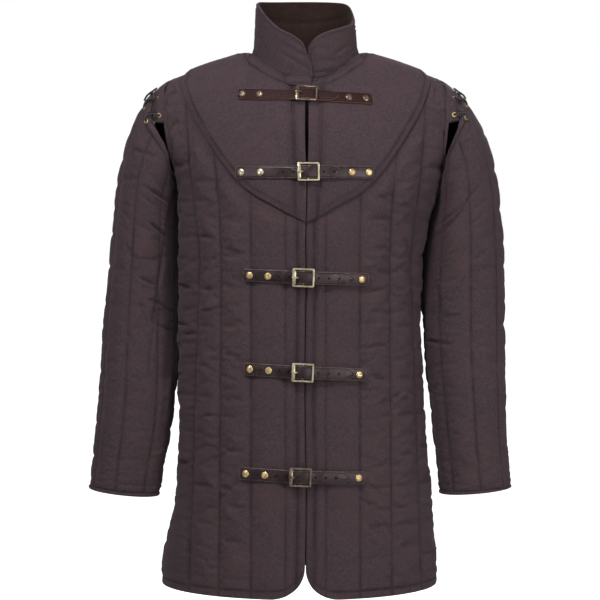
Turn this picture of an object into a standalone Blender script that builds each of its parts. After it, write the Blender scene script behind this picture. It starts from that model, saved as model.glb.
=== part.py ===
"""A quilted gambeson in its worn, hollow form.

Fronts, back, mantle, stand collar, laced-on sleeves and five buckled straps, each a closed solid of its own.
Metres, +Z up, front towards -Y. The origin is the middle of the neck opening at shoulder level.
"Right" and "left" are the wearer's: right is -X.
"""

import math

import bmesh
import bpy
import numpy as np

RIGHT, LEFT = -1, 1
FRONT, BACK = -1, 1
SIDE_NAMES = {RIGHT: "right", LEFT: "left"}

# Gaps between neighbours, and the padded walls.
SEAM_GAP = 0.0005
FRONT_GAP = 0.0012
BODY_WALL = 0.0040
BODY_PUFF = 0.0058
SLEEVE_WALL = 0.0035
SLEEVE_PUFF = 0.0035
COLLAR_WALL = 0.0045
MANTLE_LIFT = 0.0030
MANTLE_THICKNESS = 0.0022
MANTLE_HOLLOW = 0.08
MANTLE_SHADOW = 0.006

# Body, from the hem up. Half widths to each side, depths to the front and back, and how far the
# quilting lines spread outwards.
TORSO_COLUMNS = {"right": 1, "left": 2, "front": 3, "back": 4, "spread": 5}
TORSO = (
    # height, right, left, front, back, spread
    (-0.888, 0.2415, 0.2210, 0.156, 0.146, 0.00),
    (-0.837, 0.2380, 0.2170, 0.154, 0.144, 0.00),
    (-0.796, 0.2280, 0.2140, 0.152, 0.141, 0.00),
    (-0.753, 0.2180, 0.2110, 0.150, 0.138, 0.00),
    (-0.710, 0.2150, 0.2070, 0.149, 0.134, 0.00),
    (-0.638, 0.2100, 0.2000, 0.147, 0.128, 0.00),
    (-0.565, 0.2120, 0.1960, 0.145, 0.121, 0.00),
    (-0.414, 0.2120, 0.1900, 0.143, 0.113, 0.00),
    (-0.360, 0.2120, 0.1950, 0.144, 0.115, 0.00),
    (-0.299, 0.2120, 0.2010, 0.147, 0.120, 0.12),
    (-0.255, 0.2120, 0.2140, 0.148, 0.123, 0.24),
    (-0.235, 0.2120, 0.2200, 0.148, 0.124, 0.28),
    (-0.211, 0.2120, 0.2250, 0.146, 0.124, 0.32),
)
HEM_HEIGHT = -0.888
UNDERARM_HEIGHT = -0.235
HEM_CORNER = 0.050
SIDE_CORNER = 0.022
VENT_TOP = -0.752
VENT_OPENING = 0.010

# Neckline and shoulder line.
NECK_HALF_WIDTH = 0.088
NECK_DEPTH = {FRONT: 0.0725, BACK: 0.068}
NECK_HEIGHT = {FRONT: -0.0460, BACK: 0.0150}
SHOULDER_NECK_HEIGHT = 0.0040
SHOULDER_TIP = (0.2235, -0.0410)
SHOULDER_CROWN = 0.0030
TOP_CROWDING = 0.60
FOOT_REACH = 0.080
SHOULDER_REACH = 0.072

# Guide curve just below the neckline and shoulder line, which sets how the cloth turns over them.
YOKE_GUIDE = {
    FRONT: (
        # share, out, depth, height
        (0.000, 0.000, 0.1165, -0.080),
        (0.130, 0.053, 0.1030, -0.060),
        (0.276, 0.100, 0.0840, -0.030),
        (0.450, 0.146, 0.0730, -0.026),
        (0.700, 0.198, 0.0700, -0.042),
        (1.000, 0.224, 0.0700, -0.056),
    ),
    BACK: (
        (0.000, 0.000, 0.1060, -0.020),
        (0.130, 0.053, 0.0980, -0.018),
        (0.276, 0.100, 0.0830, -0.018),
        (0.450, 0.146, 0.0730, -0.026),
        (0.700, 0.198, 0.0700, -0.042),
        (1.000, 0.224, 0.0700, -0.056),
    ),
}

# The armhole edge, from the underarm over the front or back to the shoulder tip: its two inner guide points.
ARMHOLE_COLUMNS = {RIGHT: 0, LEFT: 1}
ARMHOLE = {
    # out on the right, out on the left, depth, height
    FRONT: ((0.224, 0.229, 0.075, -0.165), (0.246, 0.243, 0.098, -0.060)),
    BACK: ((0.220, 0.224, 0.070, -0.165), (0.236, 0.236, 0.092, -0.060)),
}
ARMHOLE_BLEND = 0.45

# Quilting, as shares of the run from the centre to the side.
HALF_GIRTH = 0.268
EDGE_STRIP = 0.015
SECOND_LINE = 0.035
CHANNELS = 4
BACK_CHANNELS = 5
FIRST_CHANNEL = SECOND_LINE / HALF_GIRTH
CHANNEL = (1 - FIRST_CHANNEL) / CHANNELS
NECK_SHARE = FIRST_CHANNEL + CHANNEL * 2 / 3

# Mantle edge seen from the front: distance out from the centre, height.
MANTLE_EDGE = (
    (0.000, -0.283),
    (0.028, -0.270),
    (0.055, -0.254),
    (0.090, -0.234),
    (0.120, -0.205),
    (0.145, -0.172),
    (0.168, -0.136),
    (0.190, -0.098),
    (0.203, -0.066),
    (0.212, -0.034),
    (0.230, 0.020),
)
BACK_MANTLE_DEPTH = 0.82
MANTLE_END_SHARE = 0.776
MANTLE_NECK_MARGIN = 0.085

# Collar: angle from the front towards the wearer's right, height of its top edge.
COLLAR_TOP = (
    (-10, 0.000),
    (0, 0.010),
    (14, 0.026),
    (30, 0.037),
    (47, 0.053),
    (70, 0.076),
    (95, 0.088),
    (130, 0.093),
    (180, 0.096),
    (220, 0.093),
    (243, 0.086),
    (262, 0.066),
    (285, 0.052),
    (313, 0.041),
    (337, 0.031),
    (350, 0.020),
    (357, 0.006),
    (363, -0.004),
)
COLLAR_ENDS = (-8, 357)
COLLAR_SLANT = 11
COLLAR_LAP = 0.0056
COLLAR_LEAN = 0.0060
COLLAR_TAPER = 0.0040
COLLAR_SEAT = 0.0012
COLLAR_INSET = 0.0036
COLLAR_STEPS = 36
COLLAR_ROWS = 5

# Sleeves: share of the length, outer edge (out, height), inner edge (out, height), half depth,
# how far it lies back, and how far its front and back bow outwards.
SLEEVE_SECTIONS = {
    RIGHT: (
        (0.000, 0.2590, -0.0643, 0.2185, -0.2077, 0.072, 0.000, 0.012),
        (0.040, 0.2826, -0.1014, 0.2168, -0.2313, 0.076, 0.001, 0.008),
        (0.100, 0.3046, -0.1537, 0.2177, -0.2549, 0.078, 0.002, 0.004),
        (0.190, 0.3181, -0.2178, 0.2186, -0.2819, 0.077, 0.003, 0.001),
        (0.310, 0.3282, -0.3039, 0.2188, -0.3326, 0.073, 0.004, 0.000),
        (0.420, 0.3349, -0.3781, 0.2188, -0.3882, 0.069, 0.004, 0.000),
        (0.520, 0.3417, -0.4490, 0.2186, -0.4524, 0.066, 0.003, 0.000),
        (0.630, 0.3467, -0.5249, 0.2184, -0.5283, 0.064, -0.001, 0.000),
        (0.720, 0.3501, -0.5823, 0.2193, -0.5857, 0.062, -0.005, 0.000),
        (0.800, 0.3552, -0.6346, 0.2261, -0.6413, 0.059, -0.009, 0.000),
        (0.890, 0.3585, -0.6818, 0.2362, -0.6886, 0.054, -0.013, 0.000),
        (0.960, 0.3619, -0.7122, 0.2413, -0.7240, 0.051, -0.016, 0.000),
        (1.000, 0.3653, -0.7274, 0.2438, -0.7409, 0.050, -0.017, 0.000),
    ),
    LEFT: (
        (0.000, 0.2580, -0.0650, 0.2380, -0.2000, 0.070, 0.000, 0.010),
        (0.040, 0.2790, -0.0920, 0.2295, -0.2230, 0.075, 0.001, 0.006),
        (0.100, 0.3040, -0.1340, 0.2205, -0.2500, 0.078, 0.002, 0.002),
        (0.190, 0.3235, -0.2060, 0.2075, -0.2980, 0.077, 0.003, 0.000),
        (0.310, 0.3340, -0.2950, 0.2005, -0.3560, 0.073, 0.004, 0.000),
        (0.420, 0.3378, -0.3780, 0.1965, -0.4050, 0.069, 0.004, 0.000),
        (0.520, 0.3383, -0.4520, 0.1970, -0.4640, 0.066, 0.003, 0.000),
        (0.630, 0.3383, -0.5300, 0.2015, -0.5350, 0.064, -0.001, 0.000),
        (0.720, 0.3388, -0.5850, 0.2080, -0.5880, 0.062, -0.005, 0.000),
        (0.800, 0.3395, -0.6350, 0.2130, -0.6400, 0.059, -0.009, 0.000),
        (0.890, 0.3430, -0.6840, 0.2190, -0.6900, 0.054, -0.013, 0.000),
        (0.960, 0.3460, -0.7140, 0.2220, -0.7220, 0.051, -0.016, 0.000),
        (1.000, 0.3467, -0.7260, 0.2227, -0.7370, 0.050, -0.017, 0.000),
    ),
}
SLEEVE_LENGTH = 0.67
ARM_RADIUS = 0.064
BACK_HEAD_REACH = 0.017
BACK_HEAD_FADE = 0.14
SLEEVE_LINES = {
    RIGHT: (-5, 50, 110, 140, 195, 250, 305),
    LEFT: (-5, 46, 86, 118, 165, 215, 260, 308),
}

# Big creases press into the padding: at most CREASE_FLOOR below a stitch line.
CREASE_FLOOR = 0.0016
CREASE_SHARE = 0.85
BODY_CREASES = (
    # side, face, run from the centre, height, tilt, half length, half width, depth
    (RIGHT, FRONT, 0.150, -0.655, 35, 0.050, 0.026, 0.0040),
    (RIGHT, FRONT, 0.160, -0.748, 20, 0.045, 0.026, 0.0034),
    (RIGHT, FRONT, 0.215, -0.560, -30, 0.050, 0.026, 0.0036),
    (RIGHT, FRONT, 0.200, -0.830, 30, 0.040, 0.026, 0.0030),
    (LEFT, FRONT, 0.120, -0.612, 30, 0.045, 0.026, 0.0036),
    (LEFT, FRONT, 0.125, -0.787, 40, 0.050, 0.026, 0.0040),
    (LEFT, FRONT, 0.215, -0.480, -25, 0.050, 0.026, 0.0036),
    (LEFT, FRONT, 0.210, -0.330, 40, 0.050, 0.026, 0.0036),
    (LEFT, FRONT, 0.200, -0.700, -35, 0.050, 0.026, 0.0034),
    (RIGHT, BACK, 0.120, -0.470, 20, 0.060, 0.026, 0.0040),
    (RIGHT, BACK, 0.200, -0.610, -30, 0.050, 0.026, 0.0036),
    (RIGHT, BACK, 0.060, -0.760, 25, 0.050, 0.026, 0.0034),
    (LEFT, BACK, 0.090, -0.430, -20, 0.060, 0.026, 0.0040),
    (LEFT, BACK, 0.180, -0.560, 35, 0.050, 0.026, 0.0036),
    (LEFT, BACK, 0.150, -0.740, -25, 0.050, 0.026, 0.0034),
)
SLEEVE_CREASES = (
    # side, face, angle round the sleeve, share of its length, tilt, half length, half width, depth
    (RIGHT, FRONT, 75, 0.110, -25, 0.060, 0.021, 0.0060),
    (RIGHT, FRONT, 120, 0.190, -35, 0.045, 0.021, 0.0050),
    (RIGHT, FRONT, 130, 0.290, -30, 0.045, 0.021, 0.0046),
    (RIGHT, FRONT, 150, 0.410, 25, 0.045, 0.021, 0.0060),
    (RIGHT, FRONT, 135, 0.475, -30, 0.050, 0.021, 0.0060),
    (RIGHT, FRONT, 130, 0.640, 30, 0.040, 0.021, 0.0036),
    (RIGHT, FRONT, 250, 0.480, 10, 0.070, 0.021, 0.0050),
    (RIGHT, FRONT, 230, 0.200, 30, 0.060, 0.021, 0.0045),
    (LEFT, FRONT, 130, 0.170, -45, 0.055, 0.021, 0.0070),
    (LEFT, FRONT, 125, 0.235, -40, 0.055, 0.021, 0.0060),
    (LEFT, FRONT, 75, 0.330, 20, 0.050, 0.021, 0.0040),
    (LEFT, FRONT, 120, 0.470, 15, 0.050, 0.021, 0.0060),
    (LEFT, FRONT, 100, 0.610, -30, 0.045, 0.021, 0.0036),
    (LEFT, FRONT, 250, 0.500, -12, 0.070, 0.021, 0.0050),
    (LEFT, FRONT, 230, 0.210, -30, 0.060, 0.021, 0.0045),
)

# Shoulder strips and laces.
STRIP_END = 0.50
STRIP_GAP = 0.0065
STRIP_SEAM = 0.0022
STRIP_SINK = 0.0010
STRIP_HALF_THICKNESS = 0.0034
STRIP_RIDGE = 0.13
STRIP_SECTION = (
    # share of the width, share of the half thickness
    (0.00, 0.70),
    (0.25, 1.00),
    (0.62, 1.00),
    (0.90, 0.80),
    (1.00, 0.00),
    (0.90, -0.80),
    (0.45, -1.00),
    (0.00, -0.70),
)
STRIP_STEPS = 18
ARMHOLE_MIDDLE = -0.130
HEAD_ANGLE = 72
LACE_DIAMETER = 0.0030
LACE_TURNS = 6
LACE_END = 0.86
LACE_LEAD = 0.10
LACE_OVER_STRIP = 0.0003
LACE_OVER_SLEEVE = 0.0011
LACE_HANG = {RIGHT: (0.0025, -0.0040, -0.0080), LEFT: (-0.0010, -0.0050, -0.0180)}
LACE_STEP = 0.0060
GROOVE_DEPTH = 0.0014
GROOVE_PLACE = 0.40
LACE_BIGHT = (
    # laid on, how far ahead along the armhole, how far in from the edge or down into the groove
    ("groove", -0.075, GROOVE_DEPTH),
    ("strip", -0.035, 0.0),
    ("strip", -0.015, 0.0085),
    ("strip", 0.012, 0.0),
    ("sleeve", 0.012, 0.0015),
    ("sleeve", 0.010, 0.0085),
    ("sleeve", 0.055, 0.0015),
    ("groove", 0.085, GROOVE_DEPTH),
)

# Straps: height at the middle, fall over each metre to the wearer's left, then places across the
# front measured from the centre.
STRAP_WIDTH = 0.020
STRAP_THICKNESS = 0.0022
STRAP_GAP = 0.0003
STRAP_COLUMNS = {"height": 1, "fall": 2, "lift": 3, "end": 4, "rivet_a": 5, "rivet_b": 6, "buckle": 7, "tip": 8,
                 "chape": 9, "rivet_c": 10, "rivet_d": 11}
STRAPS = (
    # name, height, fall, lift off the stitch lines, end, rivet a, rivet b, buckle, tip, chape end, rivet c, rivet d
    ("strap_1", -0.0800, 0.038, 0.0059, -0.1090, -0.1020, -0.0732, 0.0020, 0.0520, 0.1078, 0.0961, 0.0693),
    ("strap_2", -0.2030, 0.000, 0.0059, -0.1100, -0.1010, -0.0708, 0.0045, 0.0560, 0.1070, 0.1000, 0.0732),
    ("strap_3", -0.3710, 0.036, 0.0051, -0.0981, -0.0880, -0.0592, -0.0033, 0.0761, 0.0989, 0.0883, None),
    ("strap_4", -0.5235, 0.050, 0.0054, -0.0965, -0.0875, -0.0580, -0.0043, 0.0761, 0.0949, 0.0843, None),
    ("strap_5", -0.6905, 0.036, 0.0049, -0.1031, -0.0941, -0.0638, -0.0079, 0.0696, 0.0933, 0.0835, None),
)
BUCKLE_WIDTH = 0.0355
BUCKLE_HEIGHT = 0.0305
BUCKLE_BAR = 0.0032
BUCKLE_THICKNESS = 0.0024
BUCKLE_CORNER = 0.0012
BUCKLE_DIP = 0.0008
RIVET_RADIUS = 0.0055
RIVET_HEIGHT = 0.0022
RIVET_SIDES = 12
RIVET_SEAT = 0.0005

# Fineness of the meshes.
BELOW_ROWS = (0.0, 0.007, 0.013, 0.024, 0.046)
ROW_STEP = 0.0304
ABOVE_ROWS = 11
NECK_BAND_LEVEL = 1.957
SLEEVE_ROWS = 25
CUFF_BAND = 0.011
MANTLE_ROWS = 11
SHARP_ANGLE = 24


def clear_scene():
    for thing in list(bpy.data.objects):
        bpy.data.objects.remove(thing, do_unlink=True)


def make_material(name, colour, roughness, metallic=0.0):
    material = bpy.data.materials.new(name)
    material.use_nodes = True
    shader = material.node_tree.nodes["Principled BSDF"]
    shader.inputs["Base Color"].default_value = (*colour, 1.0)
    shader.inputs["Roughness"].default_value = roughness
    shader.inputs["Metallic"].default_value = metallic
    return material


def smoothstep(x):
    x = min(max(x, 0.0), 1.0)
    return x * x * (3 - 2 * x)


def along(table, column, key):
    """One column of a table at a key of its first column, on a smooth curve through the rows."""
    row = 0
    while row < len(table) - 2 and table[row + 1][0] <= key:
        row += 1
    low, high = table[row], table[row + 1]
    run = high[0] - low[0]
    middle = (high[column] - low[column]) / run
    before = table[max(row - 1, 0)]
    after = table[min(row + 2, len(table) - 1)]
    start = (high[column] - before[column]) / (high[0] - before[0]) if row else middle
    end = (after[column] - low[column]) / (after[0] - low[0]) if row < len(table) - 2 else middle
    x = min(max((key - low[0]) / run, 0.0), 1.0)
    return (
        low[column] * (1 + 2 * x) * (1 - x) ** 2
        + high[column] * x * x * (3 - 2 * x)
        + run * (start * x * (1 - x) ** 2 - end * x * x * (1 - x))
    )


def unit(vector):
    return vector / np.linalg.norm(vector)


# Body surface -------------------------------------------------------------------------------

QUARTER = np.linspace(0, math.pi / 2, 49)
QUARTER_MIDDLES = (QUARTER[1:] + QUARTER[:-1]) / 2


def quarter_angle(share, half_width, depth):
    """The angle that cuts off this share of a quarter oval's length, from its front."""
    steps = np.hypot(half_width * np.cos(QUARTER_MIDDLES), depth * np.sin(QUARTER_MIDDLES))
    run = np.concatenate(([0.0], np.cumsum(steps)))
    return float(np.interp(share * run[-1], run, QUARTER))


def below_arms(side, face, share, height):
    half_width = along(TORSO, TORSO_COLUMNS[SIDE_NAMES[side]], height)
    depth = along(TORSO, TORSO_COLUMNS["front" if face == FRONT else "back"], height)
    spread = along(TORSO, TORSO_COLUMNS["spread"], height)
    angle = quarter_angle(share + spread * share * (1 - share), half_width, depth)
    return np.array((side * half_width * math.sin(angle), face * depth * math.cos(angle), height))


def top_share(share):
    """Columns crowd together towards the shoulder tip."""
    return share * (1 + TOP_CROWDING * (1 - share))


def neck_point(side, face, angle):
    """A point of the neckline, by its angle from the centre front or back."""
    rise = math.sin(angle) ** 2.2
    return np.array((
        side * NECK_HALF_WIDTH * math.sin(angle),
        face * NECK_DEPTH[face] * math.cos(angle),
        NECK_HEIGHT[face] + (SHOULDER_NECK_HEIGHT - NECK_HEIGHT[face]) * rise,
    ))


def top_edge(side, face, share):
    """A point of the neckline and then of the shoulder line."""
    neck = top_share(NECK_SHARE)
    place = top_share(share)
    if place <= neck:
        return neck_point(side, face, math.pi / 2 * place / neck)
    run = (place - neck) / (1 - neck)
    tip_out, tip_height = SHOULDER_TIP
    out = NECK_HALF_WIDTH + (tip_out - NECK_HALF_WIDTH) * run
    height = SHOULDER_NECK_HEIGHT + (tip_height - SHOULDER_NECK_HEIGHT) * run
    return np.array((side * out, 0.0, height + SHOULDER_CROWN * math.sin(math.pi * run)))


def above_arms(side, face, share, rise):
    """The chest or upper back: a curve from underarm level up to the top edge, at share rise."""
    foot = below_arms(side, face, share, UNDERARM_HEIGHT)
    lean = (foot - below_arms(side, face, share, UNDERARM_HEIGHT - 0.008)) / 0.008
    head = top_edge(side, face, share)
    guide = [along(YOKE_GUIDE[face], column, share) for column in (1, 2, 3)]
    low = foot + lean * FOOT_REACH
    high = np.array((side * guide[0], face * guide[1], guide[2]))
    edge = max(0.0, (share - ARMHOLE_BLEND) / (1 - ARMHOLE_BLEND)) ** 2
    column = ARMHOLE_COLUMNS[side]
    (low_guide, high_guide) = ARMHOLE[face]
    low = low + (np.array((side * low_guide[column], face * low_guide[2], low_guide[3])) - low) * edge
    high = high + (np.array((side * high_guide[column], face * high_guide[2], high_guide[3])) - high) * edge
    rest = 1 - rise
    return foot * rest**3 + low * 3 * rest * rest * rise + high * 3 * rest * rise * rise + head * rise**3


def hem_height(side, share):
    """The hem rounds up to the front opening's corner and to the side vent's corner."""
    from_centre = share * HALF_GIRTH
    from_side = (1 - share) * HALF_GIRTH
    height = HEM_HEIGHT
    if side is not None and from_centre < HEM_CORNER:
        height += HEM_CORNER - math.sqrt(HEM_CORNER**2 - (HEM_CORNER - from_centre) ** 2)
    if from_side < SIDE_CORNER:
        height += SIDE_CORNER - math.sqrt(SIDE_CORNER**2 - (SIDE_CORNER - from_side) ** 2)
    return height


def body_point(side, face, share, level):
    """The body's stitch-line surface. Level 0 to 1 runs from HEM_HEIGHT to the underarm, 1 to 2 to the top."""
    if level <= 1:
        return below_arms(side, face, share, HEM_HEIGHT + (UNDERARM_HEIGHT - HEM_HEIGHT) * level)
    return above_arms(side, face, share, level - 1)


def body_normal(side, face, share, level, step=0.004):
    low, high = max(share - step, 0.0), min(share + step, 1.0)
    across = body_point(side, face, high, level) - body_point(side, face, low, level)
    bottom, top = max(level - step, 0.0), min(level + step, 2.0)
    up = body_point(side, face, share, top) - body_point(side, face, share, bottom)
    normal = np.cross(across, up) * -side * face
    if share <= 0.0:
        normal[0] = 0.0
    on_side_seam = share >= 0.99 and level <= 1.0
    on_shoulder_seam = share > NECK_SHARE - 1e-6 and level > 1.99
    if on_side_seam or on_shoulder_seam:
        normal[1] = 0.0
    return unit(normal)


def mantle_edge_height(face, out):
    depth = 1.0 if face == FRONT else BACK_MANTLE_DEPTH
    return along(MANTLE_EDGE, 1, out) * depth


def crease(creases, side, face, from_middle, swell):
    """How deep the big creases press in here, without ever reaching the inside of the wall."""
    total = 0.0
    for row_side, row_face, across, up, tilt, half_length, half_width, depth in creases:
        if (row_side, row_face) != (side, face):
            continue
        turn = math.radians(tilt)
        dx, dz = from_middle(across, up)
        lengthwise = dx * math.cos(turn) + dz * math.sin(turn)
        crosswise = dz * math.cos(turn) - dx * math.sin(turn)
        total += depth * math.exp(-((lengthwise / half_length) ** 2) - (crosswise / half_width) ** 2)
    return min(total, CREASE_FLOOR + CREASE_SHARE * swell)


def body_rise(side, face, share, level, puff):
    """How far the padded outside stands off the stitch-line surface."""
    point = body_point(side, face, share, level)
    below_edge = mantle_edge_height(face, max(abs(point[0]) - MANTLE_SHADOW, 0.0)) - point[2]
    cover = smoothstep((0.034 - below_edge) / 0.028)
    cover *= 1 - smoothstep((level - 1.92) / 0.03) * (1 - smoothstep((share - 0.15) / 0.05))
    if share > 0.93 and level > 1.5:
        cover = min(cover, smoothstep((1.0 - share) / 0.07))
    height = point[2]
    uneven = 1 + 0.16 * math.sin(61 * height + 9 * share * side) + 0.10 * math.sin(143 * height + 21 * share)
    swell = BODY_PUFF * puff * uneven / 1.26
    swell *= 1 - (1 - MANTLE_HOLLOW) * cover
    dent = crease(BODY_CREASES, side, face, lambda run, middle: (share * HALF_GIRTH - run, height - middle), swell)
    edge_hold = smoothstep(min(share, 1 - share) * HALF_GIRTH / 0.03) * smoothstep((height - HEM_HEIGHT) / 0.03)
    return swell - dent * edge_hold * (1 - cover)


# Mesh building ------------------------------------------------------------------------------


def add_object(name, points, faces, material, smooth=True):
    mesh = bpy.data.meshes.new(name)
    mesh.from_pydata([tuple(float(value) for value in point) for point in points], [], faces)
    shape = bmesh.new()
    shape.from_mesh(mesh)
    bmesh.ops.recalc_face_normals(shape, faces=shape.faces)
    if shape.calc_volume(signed=True) < 0:
        bmesh.ops.reverse_faces(shape, faces=shape.faces)
    shape.to_mesh(mesh)
    shape.free()
    if smooth:
        mesh.shade_smooth()
        mesh.set_sharp_from_angle(angle=math.radians(SHARP_ANGLE))
    mesh.materials.append(material)
    thing = bpy.data.objects.new(name, mesh)
    bpy.context.scene.collection.objects.link(thing)
    return thing


def rim_faces(outer, inner, kept):
    """Faces between a run of outer points and the fewer inner points that lie behind some of them."""
    faces = []
    for first, second in zip(range(len(kept)), range(1, len(kept))):
        start, end = kept[first], kept[second]
        middle = (start + end) // 2
        for step in range(start, middle):
            faces.append((inner[first], outer[step], outer[step + 1]))
        faces.append((inner[first], outer[middle], inner[second]))
        for step in range(middle, end):
            faces.append((inner[second], outer[step], outer[step + 1]))
    return faces


def wall(name, outer, inner, kept_rows, kept_columns, material, tube=False):
    """A closed wall: a fine outer grid over a plain inner one, joined round the edges."""
    rows, columns = outer.shape[:2]
    points = list(outer.reshape(-1, 3))
    first_inner = len(points)
    for row in kept_rows:
        for column in kept_columns:
            points.append(inner[row, column])

    def out(row, column):
        return row * columns + column % columns

    def into(row, column):
        return first_inner + row * len(kept_columns) + column % len(kept_columns)

    faces = []
    for row in range(rows - 1):
        for column in range(columns if tube else columns - 1):
            faces.append((out(row, column), out(row, column + 1), out(row + 1, column + 1), out(row + 1, column)))
    kept_spans = len(kept_columns) if tube else len(kept_columns) - 1
    for row in range(len(kept_rows) - 1):
        for column in range(kept_spans):
            faces.append((
                into(row, column), into(row + 1, column), into(row + 1, column + 1), into(row, column + 1)
            ))
    last_row, last_kept = rows - 1, len(kept_rows) - 1
    edge_columns = list(kept_columns) + ([columns] if tube else [])
    span = range(len(edge_columns))
    for row, kept in ((0, 0), (last_row, last_kept)):
        outside = [out(row, column) for column in range(edge_columns[-1] + 1)]
        faces += rim_faces(outside, [into(kept, column) for column in span], edge_columns)
    if not tube:
        for column, kept in ((0, 0), (columns - 1, len(kept_columns) - 1)):
            outside = [out(row, column) for row in range(rows)]
            faces += rim_faces(outside, [into(row, kept) for row in range(len(kept_rows))], list(kept_rows))
    return add_object(name, points, faces, material)


def every(step, count):
    """Indices 0, step, 2 step... that always end with the last."""
    kept = list(range(0, count - 1, step))
    if count - 1 - kept[-1] < step / 2 and len(kept) > 1:
        kept.pop()
    return kept + [count - 1]


# Body panels --------------------------------------------------------------------------------


def front_columns():
    """Share from the centre edge and how padded the cloth is there."""
    strip, second = EDGE_STRIP / HALF_GIRTH, FIRST_CHANNEL
    columns = [(0.0, 0.0), (strip / 2, 0.35), (strip, 0.0), ((strip + second) / 2, 0.45), (second, 0.0)]
    for channel in range(CHANNELS):
        for third, puff in ((1, 0.92), (2, 0.92), (3, 0.0)):
            columns.append((second + CHANNEL * (channel + third / 3), puff))
    return columns


def back_columns():
    """From the centre back to the side, in whole channels."""
    columns = [(0.0, 0.0)]
    for channel in range(BACK_CHANNELS):
        for third, puff in ((1, 0.92), (2, 0.92), (3, 0.0)):
            columns.append(((channel + third / 3) / BACK_CHANNELS, puff))
    return columns


def body_rows():
    """Levels from the hem to the top edge and how padded the cloth is there."""
    rise = UNDERARM_HEIGHT - HEM_HEIGHT
    rows = [(height / rise, puff) for height, puff in zip(BELOW_ROWS, (0.0, 0.45, 0.0, 0.80, 1.0))]
    spare = rise - BELOW_ROWS[-1]
    steps = round(spare / ROW_STEP)
    for step in range(1, steps + 1):
        rows.append(((BELOW_ROWS[-1] + spare * step / steps) / rise, 1.0))
    for step in range(1, ABOVE_ROWS):
        rows.append((1 + step / ABOVE_ROWS, 1.0))
    return rows + [(NECK_BAND_LEVEL, 1.0), (2.0, 0.0)]


def panel_grids(side, face, columns, corner_side):
    """Outer and inner points of half a body panel, rows from the hem up, columns from the centre out."""
    rows = body_rows()
    outer = np.zeros((len(rows), len(columns), 3))
    inner = np.zeros_like(outer)
    rise = UNDERARM_HEIGHT - HEM_HEIGHT
    for j, (share, across_puff) in enumerate(columns):
        lift = hem_height(corner_side, share) - HEM_HEIGHT
        for i, (level, up_puff) in enumerate(rows):
            if level <= 1:
                level = (lift + level * (rise - lift)) / rise
            height = HEM_HEIGHT + rise * level
            place = share
            if share == 1.0 and level <= 1.0:
                vent = max(0.0, (VENT_TOP - height) / (VENT_TOP - HEM_HEIGHT))
                place = 1 - (SEAM_GAP / 2 + VENT_OPENING / 2 * vent) / HALF_GIRTH
            if level == 2.0 and share > NECK_SHARE - 1e-6:
                level = 2 - SEAM_GAP / 2 / (3 * SHOULDER_REACH)
            point = body_point(side, face, place, level)
            normal = body_normal(side, face, place, level)
            outer[i, j] = point + normal * body_rise(side, face, place, level, across_puff * up_puff)
            inner[i, j] = point - normal * BODY_WALL
    return outer, inner


def make_fronts(material):
    columns = front_columns()
    kept_columns = [0, 2, 4] + [4 + 3 * (channel + 1) for channel in range(CHANNELS)]
    for side in (RIGHT, LEFT):
        outer, inner = panel_grids(side, FRONT, columns, side)
        for grid in (outer, inner):
            grid[:, 0, 0] += side * FRONT_GAP / 2
        name = "front_" + SIDE_NAMES[side]
        wall(name, outer, inner, [0, 2] + [row for row in every(3, len(outer)) if row > 3], kept_columns, material)


def make_back(material):
    columns = back_columns()
    halves = [panel_grids(side, BACK, columns, None) for side in (RIGHT, LEFT)]
    outer = np.concatenate((halves[0][0][:, ::-1], halves[1][0][:, 1:]), axis=1)
    inner = np.concatenate((halves[0][1][:, ::-1], halves[1][1][:, 1:]), axis=1)
    kept_columns = list(range(0, 2 * 3 * BACK_CHANNELS + 1, 3))
    wall("back", outer, inner, [0, 2] + [row for row in every(3, len(outer)) if row > 3], kept_columns, material)


# Mantle -------------------------------------------------------------------------------------


def mantle_foot(side, face, share):
    """The level where a column of the body's surface crosses the mantle's lower edge."""
    low, high = 0.6, 2.0
    for _ in range(26):
        level = (low + high) / 2
        point = body_point(side, face, share, level)
        if point[2] < mantle_edge_height(face, abs(point[0])):
            low = level
        else:
            high = level
    return min((low + high) / 2, 1.93)


def mantle_grids(side, face):
    shares = [column[0] for column in front_columns() if column[0] < MANTLE_END_SHARE - 0.02]
    shares += [(shares[-1] + MANTLE_END_SHARE) / 2, MANTLE_END_SHARE]
    lower = np.zeros((MANTLE_ROWS + 1, len(shares), 3))
    upper = np.zeros_like(lower)
    for j, share in enumerate(shares):
        foot = mantle_foot(side, face, share)
        margin = MANTLE_NECK_MARGIN * (1 - smoothstep((share - 0.22) / 0.11))
        head = 2 - max(margin, SEAM_GAP / 2 / (3 * SHOULDER_REACH))
        for i in range(MANTLE_ROWS + 1):
            level = foot + (head - foot) * i / MANTLE_ROWS
            point = body_point(side, face, share, level)
            normal = body_normal(side, face, share, level)
            lower[i, j] = point + normal * MANTLE_LIFT
            upper[i, j] = point + normal * (MANTLE_LIFT + MANTLE_THICKNESS)
    return upper, lower


def make_mantle(material):
    for side in (RIGHT, LEFT):
        upper, lower = mantle_grids(side, FRONT)
        for grid in (upper, lower):
            grid[:, 0, 0] += side * FRONT_GAP / 2
        rows, columns = list(range(len(upper))), list(range(upper.shape[1]))
        wall("mantle_" + SIDE_NAMES[side], upper, lower, rows, columns, material)
    halves = [mantle_grids(side, BACK) for side in (RIGHT, LEFT)]
    upper = np.concatenate((halves[0][0][:, ::-1], halves[1][0][:, 1:]), axis=1)
    lower = np.concatenate((halves[0][1][:, ::-1], halves[1][1][:, 1:]), axis=1)
    wall("mantle_back", upper, lower, list(range(len(upper))), list(range(upper.shape[1])), material)


# Collar -------------------------------------------------------------------------------------

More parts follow.
